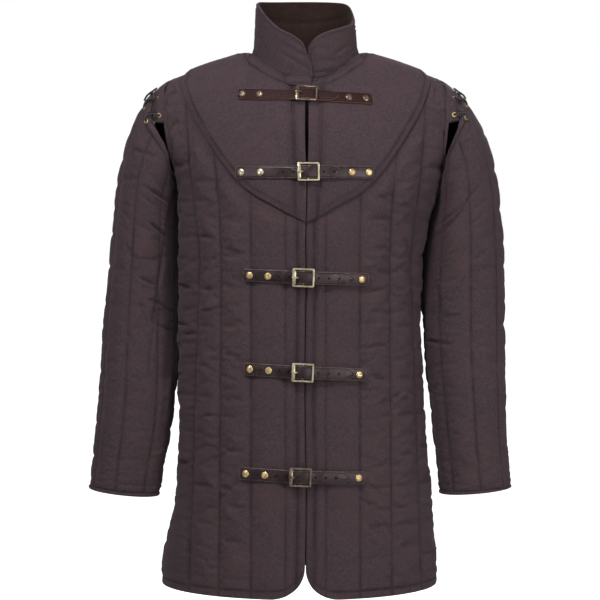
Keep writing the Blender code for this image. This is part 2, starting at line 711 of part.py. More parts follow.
def collar_point(run, rise, offset):
    """The collar's middle surface: run 0 to 1 from the lapping end round the back, rise 0 to 1 upwards."""
    start, end = COLLAR_ENDS
    end_slant = COLLAR_SLANT * rise
    degrees = start + end_slant + (end - start - end_slant) * run
    angle = math.radians(degrees)
    face = FRONT if math.cos(angle) > 0 else BACK
    lap = COLLAR_LAP * (1 - smoothstep(run / 0.14) - 0.1 * smoothstep((run - 0.86) / 0.14))
    grow = offset + lap - COLLAR_TAPER * rise
    seam_rise = abs(math.sin(angle)) ** 2.2
    base = NECK_HEIGHT[face] + (SHOULDER_NECK_HEIGHT - NECK_HEIGHT[face]) * seam_rise + COLLAR_SEAT
    top = along(COLLAR_TOP, 1, degrees)
    depth = NECK_DEPTH[face] - COLLAR_INSET
    return np.array((
        -math.sin(angle) * (NECK_HALF_WIDTH - COLLAR_INSET + grow),
        -math.cos(angle) * (depth + grow) - COLLAR_LEAN * rise,
        base + (top - base) * rise,
    ))


def make_collar(material):
    outer = np.zeros((COLLAR_ROWS + 1, COLLAR_STEPS + 1, 3))
    inner = np.zeros_like(outer)
    for i in range(COLLAR_ROWS + 1):
        rise = i / COLLAR_ROWS
        for j in range(COLLAR_STEPS + 1):
            run = j / COLLAR_STEPS
            outer[i, j] = collar_point(run, rise, COLLAR_WALL / 2)
            inner[i, j] = collar_point(run, rise, -COLLAR_WALL / 2)
    wall("collar", outer, inner, list(range(COLLAR_ROWS + 1)), every(2, COLLAR_STEPS + 1), material)


# Sleeves ------------------------------------------------------------------------------------


def sleeve_point(side, angle, share, offset=0.0):
    """A sleeve's stitch-line surface: angle 0 is the outside, 90 the front, 180 the inside."""
    table = SLEEVE_SECTIONS[side]
    outer = np.array((along(table, 1, share), 0.0, along(table, 2, share)))
    inner = np.array((along(table, 3, share), 0.0, along(table, 4, share)))
    half_depth = along(table, 5, share) - SLEEVE_PUFF
    back, bow = along(table, 6, share), along(table, 7, share)
    if angle % 360 > 180:
        bow -= BACK_HEAD_REACH * (1 - smoothstep(share / BACK_HEAD_FADE))
    middle = (outer + inner) / 2
    arm = (outer - inner) / 2
    arm *= 1 - SLEEVE_PUFF / np.linalg.norm(arm)
    up_out = unit(np.array((-arm[2], 0.0, arm[0])))
    if up_out[0] < 0:
        up_out = -up_out
    turn = math.radians(angle)
    point = middle + arm * math.cos(turn) + up_out * bow * math.sin(turn) ** 2
    point[1] = back - half_depth * math.sin(turn)
    point[0] *= side
    return point


def sleeve_normal(side, angle, share):
    low, high = max(share - 0.004, 0.0), min(share + 0.004, 1.0)
    across = sleeve_point(side, angle + 1, share) - sleeve_point(side, angle - 1, share)
    down = sleeve_point(side, angle, high) - sleeve_point(side, angle, low)
    normal = unit(np.cross(across, down))
    middle = (sleeve_point(side, 0, share) + sleeve_point(side, 180, share)) / 2
    if np.dot(normal, sleeve_point(side, angle, share) - middle) < 0:
        normal = -normal
    return normal


def sleeve_columns(side):
    lines = SLEEVE_LINES[side]
    columns = []
    for start, end in zip(lines, lines[1:] + (lines[0] + 360,)):
        for third, puff in ((0, 0.0), (1, 0.92), (2, 0.92)):
            columns.append((start + (end - start) * third / 3, puff))
    return columns


def sleeve_rows():
    band = CUFF_BAND / SLEEVE_LENGTH
    rows = [(0.0, 0.0), (band * 0.9, 0.6)]
    last = 1 - band
    for step in range(1, SLEEVE_ROWS):
        rows.append((band * 0.9 + (last - band * 1.9) * step / (SLEEVE_ROWS - 1), 1.0))
    return rows + [(last, 0.0), (1 - band / 2, 0.45), (1.0, 0.0)]


def sleeve_rise(side, turn, share, puff):
    """How far a sleeve's padded outside stands off its stitch-line surface."""
    uneven = 1 + 0.16 * math.sin(37 * share + turn * 0.09) + 0.10 * math.sin(83 * share + turn * 0.05)
    swell = SLEEVE_PUFF * puff * uneven / 1.26
    dent = crease(
        SLEEVE_CREASES,
        side,
        FRONT,
        lambda angle, middle: (math.radians(turn - angle) * ARM_RADIUS, (middle - share) * SLEEVE_LENGTH),
        swell,
    )
    near_body = smoothstep((turn - 150) / 25) * (1 - smoothstep((turn - 205) / 20))
    return swell - dent * (1 - near_body)


def make_sleeves(material):
    for side in (RIGHT, LEFT):
        columns, rows = sleeve_columns(side), sleeve_rows()
        outer = np.zeros((len(rows), len(columns), 3))
        inner = np.zeros_like(outer)
        for i, (share, down_puff) in enumerate(rows):
            for j, (angle, puff) in enumerate(columns):
                point = sleeve_point(side, angle, share)
                normal = sleeve_normal(side, angle, share)
                outer[i, j] = point + normal * sleeve_rise(side, angle % 360, share, puff * down_puff)
                inner[i, j] = point - normal * SLEEVE_WALL
        kept_rows = every(3, len(rows))
        wall("sleeve_" + SIDE_NAMES[side], outer, inner, kept_rows, list(range(0, len(columns), 3)), material, True)


# Shoulder strips and laces ------------------------------------------------------------------


def strip_edge(side, place):
    """The armhole edge over the shoulder: place -1 at the front to 1 at the back."""
    face = FRONT if place < 0 else BACK
    return body_point(side, face, 1.0, 2 - abs(place) * (1 - STRIP_END))


def strip_frame(side, place):
    """The armhole edge here, the way from it to the sleeve head, the way a strip faces, and its width."""
    edge = strip_edge(side, place)
    to_sleeve = sleeve_point(side, -place * HEAD_ANGLE, 0.0) - edge
    run = strip_edge(side, min(place + 0.06, 1.0)) - strip_edge(side, max(place - 0.06, -1.0))
    normal = unit(np.cross(run, to_sleeve))
    armhole_middle = np.array((side * SHOULDER_TIP[0], 0.0, ARMHOLE_MIDDLE))
    if np.dot(normal, edge - armhole_middle) < 0:
        normal = -normal
    reach = np.linalg.norm(to_sleeve)
    return edge, to_sleeve / reach, normal, reach - STRIP_GAP


def make_strips(material):
    for side in (RIGHT, LEFT):
        points, faces = [], []
        ring = len(STRIP_SECTION)
        for i in range(STRIP_STEPS + 1):
            place = -1 + 2 * i / STRIP_STEPS
            edge, out, normal, width = strip_frame(side, place)
            at_seam = body_normal(side, FRONT if place < 0 else BACK, 1.0, 2 - abs(place) * (1 - STRIP_END))
            swell = STRIP_HALF_THICKNESS * (1 + STRIP_RIDGE * math.cos(i * math.pi))
            for across, thick in STRIP_SECTION:
                facing = unit(at_seam * (1 - across) + normal * across)
                along_out = STRIP_SEAM + (width - STRIP_SEAM) * across
                points.append(edge + out * along_out + facing * (thick * swell - STRIP_SINK))
        for i in range(STRIP_STEPS):
            for j in range(ring):
                a, b = i * ring + j, i * ring + (j + 1) % ring
                faces.append((a, b, b + ring, a + ring))
        last = STRIP_STEPS * ring
        faces.append(tuple(range(ring)))
        faces.append(tuple(last + j for j in range(ring)))
        add_object("shoulder_strip_" + SIDE_NAMES[side], points, faces, material)


def in_groove(side, place, depth):
    """Where the lace runs between strip and sleeve head."""
    edge, out, normal, width = strip_frame(side, place)
    return edge + out * (width + STRIP_GAP * GROOVE_PLACE) - normal * depth


def above_strip(side, place, inset):
    """Where the lace lies on a strip, this far in from its outer edge."""
    edge, out, normal, width = strip_frame(side, place)
    clear = STRIP_HALF_THICKNESS * (1 + STRIP_RIDGE) - STRIP_SINK + LACE_DIAMETER / 2 + LACE_OVER_STRIP
    return edge + out * (width - inset) + normal * clear


def above_sleeve(side, place, inset):
    """Where the lace lies on a sleeve head, this far down from its edge."""
    angle = -place * HEAD_ANGLE
    share = inset / SLEEVE_LENGTH
    clear = SLEEVE_PUFF + LACE_DIAMETER / 2 + LACE_OVER_SLEEVE
    return sleeve_point(side, angle, share) + sleeve_normal(side, angle, share) * clear


def lace_route(side):
    """A hanging end, then a bight at each pair of eyelets, from the front over the shoulder to the back."""
    laid_on = {"groove": in_groove, "strip": above_strip, "sleeve": above_sleeve}
    spacing = 2 * LACE_END / (LACE_TURNS - 1)
    start = in_groove(side, -LACE_END - LACE_LEAD, GROOVE_DEPTH)
    hang = np.array(LACE_HANG[side])
    corners = [start + hang, start + hang / 2]
    for turn in range(LACE_TURNS):
        place = -LACE_END + spacing * turn
        corners += [laid_on[where](side, place + ahead, inset) for where, ahead, inset in LACE_BIGHT]
    return corners


def smooth_route(route, spacing):
    """Points at an even spacing on a smooth curve through the route."""
    dense = []
    for i in range(len(route) - 1):
        before, start, end, after = route[max(i - 1, 0)], route[i], route[i + 1], route[min(i + 2, len(route) - 1)]
        for step in range(12):
            t = step / 12
            dense.append(0.5 * (
                2 * start + (end - before) * t
                + (2 * before - 5 * start + 4 * end - after) * t * t
                + (3 * start - before - 3 * end + after) * t**3
            ))
    dense.append(route[-1])
    dense = np.array(dense)
    run = np.concatenate(([0.0], np.cumsum(np.linalg.norm(np.diff(dense, axis=0), axis=1))))
    count = max(2, round(run[-1] / spacing))
    places = np.linspace(0, run[-1], count + 1)
    return [np.array([np.interp(place, run, dense[:, axis]) for axis in range(3)]) for place in places]


def make_laces(material):
    for side in (RIGHT, LEFT):
        route = smooth_route(lace_route(side), LACE_STEP)
        curve = bpy.data.curves.new("lace_" + SIDE_NAMES[side], "CURVE")
        curve.dimensions = "3D"
        curve.bevel_depth = LACE_DIAMETER / 2
        curve.bevel_resolution = 1
        curve.use_fill_caps = True
        spline = curve.splines.new("POLY")
        spline.points.add(len(route) - 1)
        for point, place in zip(spline.points, route):
            point.co = (*[float(value) for value in place], 1.0)
        curve.materials.append(material)
        thing = bpy.data.objects.new("lace_" + SIDE_NAMES[side], curve)
        bpy.context.scene.collection.objects.link(thing)


# Straps, buckles and rivets -----------------------------------------------------------------


def on_front(out, height):
    """The body's front at a place seen from the front: point, outward normal and the way up along it."""
    side = RIGHT if out < 0 else LEFT
    share = min(abs(out) / HALF_GIRTH, 0.9)
    level = (height - HEM_HEIGHT) / (UNDERARM_HEIGHT - HEM_HEIGHT)
    if level > 1:
        level = 1 + (height - UNDERARM_HEIGHT) / 0.21
    step = 0.002
    for _ in range(14):
        point = body_point(side, FRONT, share, level)
        miss = np.array((abs(out) - abs(point[0]), height - point[2]))
        if abs(miss[0]) + abs(miss[1]) < 1e-6:
            break
        by_share = (body_point(side, FRONT, share + step, level) - point) / step
        by_level = (body_point(side, FRONT, share, level + step) - point) / step
        slopes = np.array(((side * by_share[0], side * by_level[0]), (by_share[2], by_level[2])))
        change = np.linalg.solve(slopes, miss)
        share = min(max(share + change[0], 0.0), 0.97)
        level = min(max(level + change[1], 0.0), 1.97)
    point = body_point(side, FRONT, share, level)
    normal = body_normal(side, FRONT, share, level)
    up = unit(np.array((0.0, 0.0, 1.0)) - normal * normal[2])
    return point, normal, up


def strap_value(strap, name):
    return strap[STRAP_COLUMNS[name]]


def strap_height(strap, out):
    return strap_value(strap, "height") - strap_value(strap, "fall") * (out - strap_value(strap, "buckle"))


def leather_band(name, strap, stations, material):
    """A strap through stations of (out, half width, lift): a plain band that follows the front."""
    points, faces = [], []
    for out, half_width, lift in stations:
        point, normal, up = on_front(out, strap_height(strap, out))
        for across, rise in ((-1, 0), (1, 0), (1, STRAP_THICKNESS), (-1, STRAP_THICKNESS)):
            points.append(point + up * across * half_width + normal * (lift + rise))
    for i in range(len(stations) - 1):
        for j in range(4):
            a, b = i * 4 + j, i * 4 + (j + 1) % 4
            faces.append((a, b, b + 4, a + 4))
    last = (len(stations) - 1) * 4
    faces.append((0, 1, 2, 3))
    faces.append((last, last + 1, last + 2, last + 3))
    return add_object(name, points, faces, material)


def billet_stations(strap):
    """From the riveted end, under the near bar, over the middle bar, under the far bar, to the point."""
    half = STRAP_WIDTH / 2
    end, buckle, tip = (strap_value(strap, name) for name in ("end", "buckle", "tip"))
    lift = strap_value(strap, "lift")
    rest = lift + STRAP_THICKNESS + STRAP_GAP
    over = rest + BUCKLE_THICKNESS + STRAP_GAP
    near = buckle - BUCKLE_WIDTH / 2
    far = buckle + BUCKLE_WIDTH / 2
    stations = [(end, half - 0.002, lift), (end + 0.002, half, lift)]
    steps = 8
    for step in range(1, steps):
        out = end + 0.002 + (near - 0.012 - end - 0.002) * step / steps
        stations.append((out, half, lift))
    stations += [
        (near - 0.012, half, lift),
        (near - 0.004, half, lift + 0.0014),
        (near + 0.004, half, over - 0.0016),
        (buckle - 0.005, half, over),
        (buckle + 0.005, half, over),
        (far - 0.004, half, over - 0.0016),
        (far + 0.006, half, rest),
    ]
    shoulder = tip - 0.014
    stations += [
        ((far + 0.006 + shoulder) / 2, half, rest),
        (shoulder, half, rest),
        (tip - 0.006, half * 0.62, rest),
        (tip, half * 0.12, rest),
    ]
    return stations


def chape_stations(strap):
    half = STRAP_WIDTH / 2
    buckle, end, lift = (strap_value(strap, name) for name in ("buckle", "chape", "lift"))
    start = buckle - 0.004
    steps = 10
    stations = [(start, half - 0.001, lift)]
    for step in range(1, steps):
        stations.append((start + (end - 0.002 - start) * step / steps, half, lift))
    return stations + [(end - 0.002, half, lift), (end, half - 0.002, lift)]


def make_rivet(name, strap, out, lift, material):
    point, normal, up = on_front(out, strap_height(strap, out))
    sideways = np.cross(up, normal)
    base = point + normal * lift
    points, faces = [], []
    rings = ((1.0, 0.0), (1.0, 0.45), (0.72, 0.85))
    for radius, height in rings:
        for step in range(RIVET_SIDES):
            turn = 2 * math.pi * step / RIVET_SIDES
            along_strap = sideways * math.cos(turn) + up * math.sin(turn)
            points.append(base + along_strap * RIVET_RADIUS * radius + normal * RIVET_HEIGHT * height)
    points.append(base + normal * RIVET_HEIGHT)
    for ring in range(len(rings) - 1):
        for step in range(RIVET_SIDES):
            a, b = ring * RIVET_SIDES + step, ring * RIVET_SIDES + (step + 1) % RIVET_SIDES
            faces.append((a, b, b + RIVET_SIDES, a + RIVET_SIDES))
    top = (len(rings) - 1) * RIVET_SIDES
    for step in range(RIVET_SIDES):
        faces.append((top + step, top + (step + 1) % RIVET_SIDES, len(points) - 1))
    faces.append(tuple(range(RIVET_SIDES)))
    add_object(name, points, faces, material)


def make_buckle(name, strap, material):
    """A cast frame with two windows; the middle bar dips under the billet."""
    buckle = strap_value(strap, "buckle")
    point, normal, up = on_front(buckle, strap_height(strap, buckle))
    fall = strap_value(strap, "fall")
    sideways = unit(np.cross(up, normal))
    if sideways[0] < 0:
        sideways = -sideways
    sideways = unit(sideways - up * fall)
    upright = unit(np.cross(normal, sideways))
    if upright[2] < 0:
        upright = -upright
    half_width, half_height = BUCKLE_WIDTH / 2, BUCKLE_HEIGHT / 2
    bar = BUCKLE_BAR
    xs = (-half_width, -half_width + bar, -bar / 2, bar / 2, half_width - bar, half_width)
    clear = STRAP_WIDTH / 2 + 0.0008
    ys = (-half_height, -half_height + bar, -clear, clear, half_height - bar, half_height)
    middle_low = strap_value(strap, "lift") + STRAP_THICKNESS + STRAP_GAP
    frame_low = middle_low + BUCKLE_THICKNESS + STRAP_GAP + STRAP_THICKNESS - BUCKLE_DIP
    solid = {(i, j) for i in range(5) for j in range(5)}
    solid -= {(i, j) for i in (1, 3) for j in (1, 2, 3)}
    points, faces, index = [], [], {}

    def corner(i, j, top):
        key = (i, j, top)
        if key not in index:
            low = middle_low if i in (2, 3) and j in (2, 3) else frame_low
            x, y = xs[i], ys[j]
            if i in (0, 5) and j in (0, 5):
                x -= math.copysign(BUCKLE_CORNER, x)
                y -= math.copysign(BUCKLE_CORNER, y)
            index[key] = len(points)
            rise = low + (BUCKLE_THICKNESS if top else 0.0)
            points.append(point + sideways * x + upright * y + normal * rise)
        return index[key]

    for i, j in sorted(solid):
        for top in (False, True):
            faces.append(tuple(corner(i + a, j + b, top) for a, b in ((0, 0), (1, 0), (1, 1), (0, 1))))
        for (di, dj), (a, b) in (
            ((-1, 0), ((0, 0), (0, 1))),
            ((1, 0), ((1, 0), (1, 1))),
            ((0, -1), ((0, 0), (1, 0))),
            ((0, 1), ((0, 1), (1, 1))),
        ):
            if (i + di, j + dj) not in solid:
                ends = (corner(i + a[0], j + a[1], False), corner(i + b[0], j + b[1], False))
                tops = (corner(i + b[0], j + b[1], True), corner(i + a[0], j + a[1], True))
                faces.append(ends + tops)
    add_object(name, points, faces, material, smooth=False)
    return point, normal, sideways, upright, frame_low


def make_prong(name, strap, frame, material):
    """The prong, from the billet's hole over to the near bar."""
    point, normal, sideways, upright, frame_low = frame
    over = strap_value(strap, "lift") + 2 * STRAP_THICKNESS + BUCKLE_THICKNESS + 3 * STRAP_GAP
    bar_top = frame_low + BUCKLE_THICKNESS + STRAP_GAP
    stations = (
        (0.0005, over, 0.0016),
        (-0.0060, over + 0.0006, 0.0015),
        (-BUCKLE_WIDTH / 2 + BUCKLE_BAR + 0.0015, bar_top, 0.0014),
        (-BUCKLE_WIDTH / 2 - 0.0008, bar_top, 0.0010),
    )
    points, faces = [], []
    for x, low, half in stations:
        for y, rise in ((-half, 0), (half, 0), (half * 0.6, 0.0018), (-half * 0.6, 0.0018)):
            points.append(point + sideways * x + upright * y + normal * (low + rise))
    for i in range(len(stations) - 1):
        for j in range(4):
            a, b = i * 4 + j, i * 4 + (j + 1) % 4
            faces.append((a, b, b + 4, a + 4))
    last = (len(stations) - 1) * 4
    faces += [(0, 1, 2, 3), (last, last + 1, last + 2, last + 3)]
    add_object(name, points, faces, material, smooth=False)


def make_straps(leather, brass):
    for strap in STRAPS:
        name = strap[0]
        leather_band(name + "_billet", strap, billet_stations(strap), leather)
        leather_band(name + "_chape", strap, chape_stations(strap), leather)
        frame = make_buckle(name + "_buckle", strap, brass)
        make_prong(name + "_prong", strap, frame, brass)
        lift = strap_value(strap, "lift") + STRAP_THICKNESS + RIVET_SEAT
        for rivet in ("rivet_a", "rivet_b", "rivet_c", "rivet_d"):
            if strap_value(strap, rivet) is not None:
                make_rivet(name + "_" + rivet, strap, strap_value(strap, rivet), lift, brass)


def main():
    clear_scene()
    canvas = make_material("aubergine_canvas", (0.066, 0.050, 0.056), 0.92)
    lacing = make_material("lace_cord", (0.030, 0.024, 0.025), 0.85)
    leather = make_material("strap_leather", (0.022, 0.013, 0.010), 0.45)
    brass = make_material("antique_brass", (0.52, 0.42, 0.25), 0.35, 1.0)
    make_fronts(canvas)
    make_back(canvas)
    make_mantle(canvas)
    make_collar(canvas)
    make_sleeves(canvas)
    make_strips(canvas)
    make_laces(lacing)
    make_straps(leather, brass)


main()
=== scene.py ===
"""A quilted gambeson, dressed for a picture: padded canvas, leather straps, brass and laces on its CAD frame.

Metres, +Z up, front towards -Y. "Right" and "left" are the wearer's: right is -X.
"""

import math

import bmesh
import bpy
import numpy as np
from mathutils import Matrix, Vector


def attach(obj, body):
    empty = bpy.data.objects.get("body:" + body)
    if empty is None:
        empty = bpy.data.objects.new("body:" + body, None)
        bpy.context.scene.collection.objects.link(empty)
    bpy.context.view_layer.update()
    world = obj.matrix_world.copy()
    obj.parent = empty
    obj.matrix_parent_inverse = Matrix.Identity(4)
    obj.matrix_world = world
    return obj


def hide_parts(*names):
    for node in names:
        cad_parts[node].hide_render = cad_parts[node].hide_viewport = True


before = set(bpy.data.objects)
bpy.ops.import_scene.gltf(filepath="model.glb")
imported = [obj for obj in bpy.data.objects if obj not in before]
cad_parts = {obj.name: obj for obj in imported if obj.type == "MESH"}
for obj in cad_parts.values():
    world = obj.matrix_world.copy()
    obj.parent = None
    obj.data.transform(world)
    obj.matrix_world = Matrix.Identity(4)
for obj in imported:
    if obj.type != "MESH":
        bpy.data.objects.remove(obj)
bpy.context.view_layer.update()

RIGHT, LEFT = -1, 1
FRONT, BACK = -1, 1
SIDE_NAMES = {RIGHT: "right", LEFT: "left"}

# Gaps between neighbours, and the padded walls.
SEAM_GAP = 0.0005
FRONT_GAP = 0.0012
BODY_WALL = 0.0040
BODY_PUFF = 0.0058
SLEEVE_WALL = 0.0035
SLEEVE_PUFF = 0.0035
COLLAR_WALL = 0.0045
MANTLE_LIFT = 0.0030
MANTLE_THICKNESS = 0.0022
MANTLE_HOLLOW = 0.08
MANTLE_SHADOW = 0.006

# Body, from the hem up: half widths to each side, depths in front and behind, and how far the stitch
# lines spread outwards.
TORSO_COLUMNS = {"right": 1, "left": 2, "front": 3, "back": 4, "spread": 5}
TORSO = (
    # height, right, left, front, back, spread
    (-0.888, 0.2415, 0.2210, 0.156, 0.146, 0.00),
    (-0.837, 0.2380, 0.2170, 0.154, 0.144, 0.00),
    (-0.796, 0.2280, 0.2140, 0.152, 0.141, 0.00),
    (-0.753, 0.2180, 0.2110, 0.150, 0.138, 0.00),
    (-0.710, 0.2150, 0.2070, 0.149, 0.134, 0.00),
    (-0.638, 0.2100, 0.2000, 0.147, 0.128, 0.00),
    (-0.565, 0.2120, 0.1960, 0.145, 0.121, 0.00),
    (-0.414, 0.2120, 0.1900, 0.143, 0.113, 0.00),
    (-0.360, 0.2120, 0.1950, 0.144, 0.115, 0.00),
    (-0.299, 0.2120, 0.2010, 0.147, 0.120, 0.12),
    (-0.255, 0.2120, 0.2140, 0.148, 0.123, 0.24),
    (-0.235, 0.2120, 0.2200, 0.148, 0.124, 0.28),
    (-0.211, 0.2120, 0.2250, 0.146, 0.124, 0.32),
)
HEM_HEIGHT = -0.888
UNDERARM_HEIGHT = -0.235
BODY_RISE = UNDERARM_HEIGHT - HEM_HEIGHT
HEM_CORNER = 0.050
SIDE_CORNER = 0.022
VENT_TOP = -0.752
VENT_OPENING = 0.010

# Neckline and shoulder line.
NECK_HALF_WIDTH = 0.088
NECK_DEPTH = {FRONT: 0.0725, BACK: 0.068}
NECK_HEIGHT = {FRONT: -0.0460, BACK: 0.0150}
SHOULDER_NECK_HEIGHT = 0.0040
SHOULDER_TIP = (0.2235, -0.0410)
SHOULDER_CROWN = 0.0030
TOP_CROWDING = 0.60
FOOT_REACH = 0.080
SHOULDER_REACH = 0.072
# How far a whole level would run, in metres, at the rate it has at the top edge, and on the flat cut.
TOP_RUN = 3 * SHOULDER_REACH
FLAT_TOP_RUN = 0.23

# Guide curve just below the neckline and shoulder line, which sets how the cloth turns over them.
YOKE_GUIDE = {
    FRONT: (
        # share, out, depth, height
        (0.000, 0.000, 0.1165, -0.080),
        (0.130, 0.053, 0.1030, -0.060),
        (0.276, 0.100, 0.0840, -0.030),
        (0.450, 0.146, 0.0730, -0.026),
        (0.700, 0.198, 0.0700, -0.042),
        (1.000, 0.224, 0.0700, -0.056),
    ),
    BACK: (
        (0.000, 0.000, 0.1060, -0.020),
        (0.130, 0.053, 0.0980, -0.018),
        (0.276, 0.100, 0.0830, -0.018),
        (0.450, 0.146, 0.0730, -0.026),
        (0.700, 0.198, 0.0700, -0.042),
        (1.000, 0.224, 0.0700, -0.056),
    ),
}

# The armhole edge, from the underarm over the front or back to the shoulder tip: its two inner guide points.
ARMHOLE_COLUMNS = {RIGHT: 0, LEFT: 1}
ARMHOLE = {
    # out on the right, out on the left, depth, height
    FRONT: ((0.224, 0.229, 0.075, -0.165), (0.246, 0.243, 0.098, -0.060)),
    BACK: ((0.220, 0.224, 0.070, -0.165), (0.236, 0.236, 0.092, -0.060)),
}
ARMHOLE_BLEND = 0.45

# Quilting, as shares of the run from the centre to the side.
HALF_GIRTH = 0.268
EDGE_STRIP = 0.0140
SECOND_LINE = 0.035
CHANNELS = 4
BACK_CHANNELS = 5
FIRST_CHANNEL = SECOND_LINE / HALF_GIRTH
CHANNEL = (1 - FIRST_CHANNEL) / CHANNELS
NECK_SHARE = FIRST_CHANNEL + CHANNEL * 2 / 3
FRONT_LINES = (0.0, EDGE_STRIP / HALF_GIRTH) + tuple(FIRST_CHANNEL + CHANNEL * step for step in range(CHANNELS + 1))
FRONT_FULLNESS = (0.70, 0.50) + (1.0,) * CHANNELS
FRONT_LINE_PLACES = (
    # height, then how far out from the centre each stitch line of a front lies there
    (-0.900, 0.0140, 0.0325, 0.0880, 0.1400, 0.1900),
    (-0.600, 0.0136, 0.0325, 0.0880, 0.1385, 0.1820),
    (-0.340, 0.0136, 0.0325, 0.0880, 0.1370, 0.1720),
    (-0.260, 0.0136, 0.0325, 0.0885, 0.1400, 0.1810),
    (-0.200, 0.0136, 0.0325, 0.0900, 0.1460, 0.1890),
    (-0.120, 0.0136, 0.0325, 0.0920, 0.1560, 0.1960),
    (-0.040, 0.0136, 0.0325, 0.0920, 0.1600, 0.1990),
)
BACK_LINES = tuple(step / BACK_CHANNELS for step in range(BACK_CHANNELS + 1))
BACK_FULLNESS = (1.0,) * BACK_CHANNELS
HEM_BAND = 0.013
NECK_BAND_LEVEL = 1.957
PILLOW = 0.55
FOLD_SHARE = 0.34
PUCKER = 0.00045
# Where the rows run by a cut edge, which rolls down there.
ROLL_STOPS = np.array((0.0, 0.0004, 0.0010, 0.0018))
# No mark is kept further in from an edge than this.
EDGE_REACH = 0.02

# Mantle edge seen from the front: distance out from the centre, height.
MANTLE_EDGE = (
    (0.000, -0.283), (0.028, -0.270), (0.055, -0.254), (0.090, -0.234), (0.120, -0.205), (0.145, -0.172),
    (0.168, -0.136), (0.190, -0.098), (0.203, -0.066), (0.212, -0.034), (0.230, 0.020),
)
BACK_MANTLE_DEPTH = 0.82
MANTLE_END_SHARE = 0.776
MANTLE_NECK_MARGIN = 0.085
MANTLE_FOLD = 0.0095
NECK_BAND = 0.0125

# Collar: angle from the front towards the wearer's right, height of its top edge.
COLLAR_TOP = (
    (-10, 0.000), (0, 0.010), (14, 0.026), (30, 0.037), (47, 0.053), (70, 0.076), (95, 0.088), (130, 0.093),
    (180, 0.096), (220, 0.093), (243, 0.086), (262, 0.066), (285, 0.052), (313, 0.041), (337, 0.031), (350, 0.020),
    (357, 0.006), (363, -0.004),
)
COLLAR_ENDS = (-8, 357)
COLLAR_SLANT = 11
COLLAR_LAP = 0.0056
COLLAR_LEAN = 0.0060
COLLAR_TAPER = 0.0040
COLLAR_SEAT = 0.0012
COLLAR_INSET = 0.0036
COLLAR_HEM = 0.006
COLLAR_RUN, COLLAR_RISE = 0.52, 0.095
# The tab under its lapping end: start, end, height at the middle, half width.
TAB = (-0.0330, 0.0100, -0.0558, 0.0072)

# Sleeves: share of the length, outer edge (out, height), inner edge (out, height), half depth,
# how far it lies back, and how far its front and back bow outwards.
SLEEVE_SECTIONS = {
    RIGHT: (
        (0.000, 0.2590, -0.0643, 0.2185, -0.2077, 0.072, 0.000, 0.012),
        (0.040, 0.2826, -0.1014, 0.2168, -0.2313, 0.076, 0.001, 0.008),
        (0.100, 0.3046, -0.1537, 0.2177, -0.2549, 0.078, 0.002, 0.004),
        (0.190, 0.3181, -0.2178, 0.2186, -0.2819, 0.077, 0.003, 0.001),
        (0.310, 0.3282, -0.3039, 0.2188, -0.3326, 0.073, 0.004, 0.000),
        (0.420, 0.3349, -0.3781, 0.2188, -0.3882, 0.069, 0.004, 0.000),
        (0.520, 0.3417, -0.4490, 0.2186, -0.4524, 0.066, 0.003, 0.000),
        (0.630, 0.3467, -0.5249, 0.2184, -0.5283, 0.064, -0.001, 0.000),
        (0.720, 0.3501, -0.5823, 0.2193, -0.5857, 0.062, -0.005, 0.000),
        (0.800, 0.3552, -0.6346, 0.2261, -0.6413, 0.059, -0.009, 0.000),
        (0.890, 0.3585, -0.6818, 0.2362, -0.6886, 0.054, -0.013, 0.000),
        (0.960, 0.3619, -0.7122, 0.2413, -0.7240, 0.051, -0.016, 0.000),
        (1.000, 0.3653, -0.7274, 0.2438, -0.7409, 0.050, -0.017, 0.000),
    ),
    LEFT: (
        (0.000, 0.2580, -0.0650, 0.2380, -0.2000, 0.070, 0.000, 0.010),
        (0.040, 0.2790, -0.0920, 0.2295, -0.2230, 0.075, 0.001, 0.006),
        (0.100, 0.3040, -0.1340, 0.2205, -0.2500, 0.078, 0.002, 0.002),
        (0.190, 0.3235, -0.2060, 0.2075, -0.2980, 0.077, 0.003, 0.000),
        (0.310, 0.3340, -0.2950, 0.2005, -0.3560, 0.073, 0.004, 0.000),
        (0.420, 0.3378, -0.3780, 0.1965, -0.4050, 0.069, 0.004, 0.000),
        (0.520, 0.3383, -0.4520, 0.1970, -0.4640, 0.066, 0.003, 0.000),
        (0.630, 0.3383, -0.5300, 0.2015, -0.5350, 0.064, -0.001, 0.000),
        (0.720, 0.3388, -0.5850, 0.2080, -0.5880, 0.062, -0.005, 0.000),
        (0.800, 0.3395, -0.6350, 0.2130, -0.6400, 0.059, -0.009, 0.000),
        (0.890, 0.3430, -0.6840, 0.2190, -0.6900, 0.054, -0.013, 0.000),
        (0.960, 0.3460, -0.7140, 0.2220, -0.7220, 0.051, -0.016, 0.000),
        (1.000, 0.3467, -0.7260, 0.2227, -0.7370, 0.050, -0.017, 0.000),
    ),
}
SLEEVE_LENGTH = 0.67
ARM_RADIUS = 0.064
BACK_HEAD_REACH = 0.017
BACK_HEAD_FADE = 0.14
CUFF_BAND = 0.011
HEAD_BAND = 0.012
SLEEVE_LINES = {
    RIGHT: (-15, 30, 77, 127, 166, 213, 260, 302, 345),
    LEFT: (-5, 41, 85, 131, 172, 215, 260, 308, 355),
}

# Swatches of cloth that are puffed up by simulation: the size of their squares, how long they run, and
# the height that counts as full. Then how far their dimples are deepened: on a front, from the opening out.
SWATCH_STEP = 0.005
SWATCH_FRAMES = 22
FULL_SWATCH = 0.0036
DIMPLES = {BACK: 1.0, "sleeve": 0.5}
FRONT_DIMPLES = ((0.080, 0.125), (-0.6, 0.9))
SLEEVE_GIRTH = 2 * math.pi * ARM_RADIUS

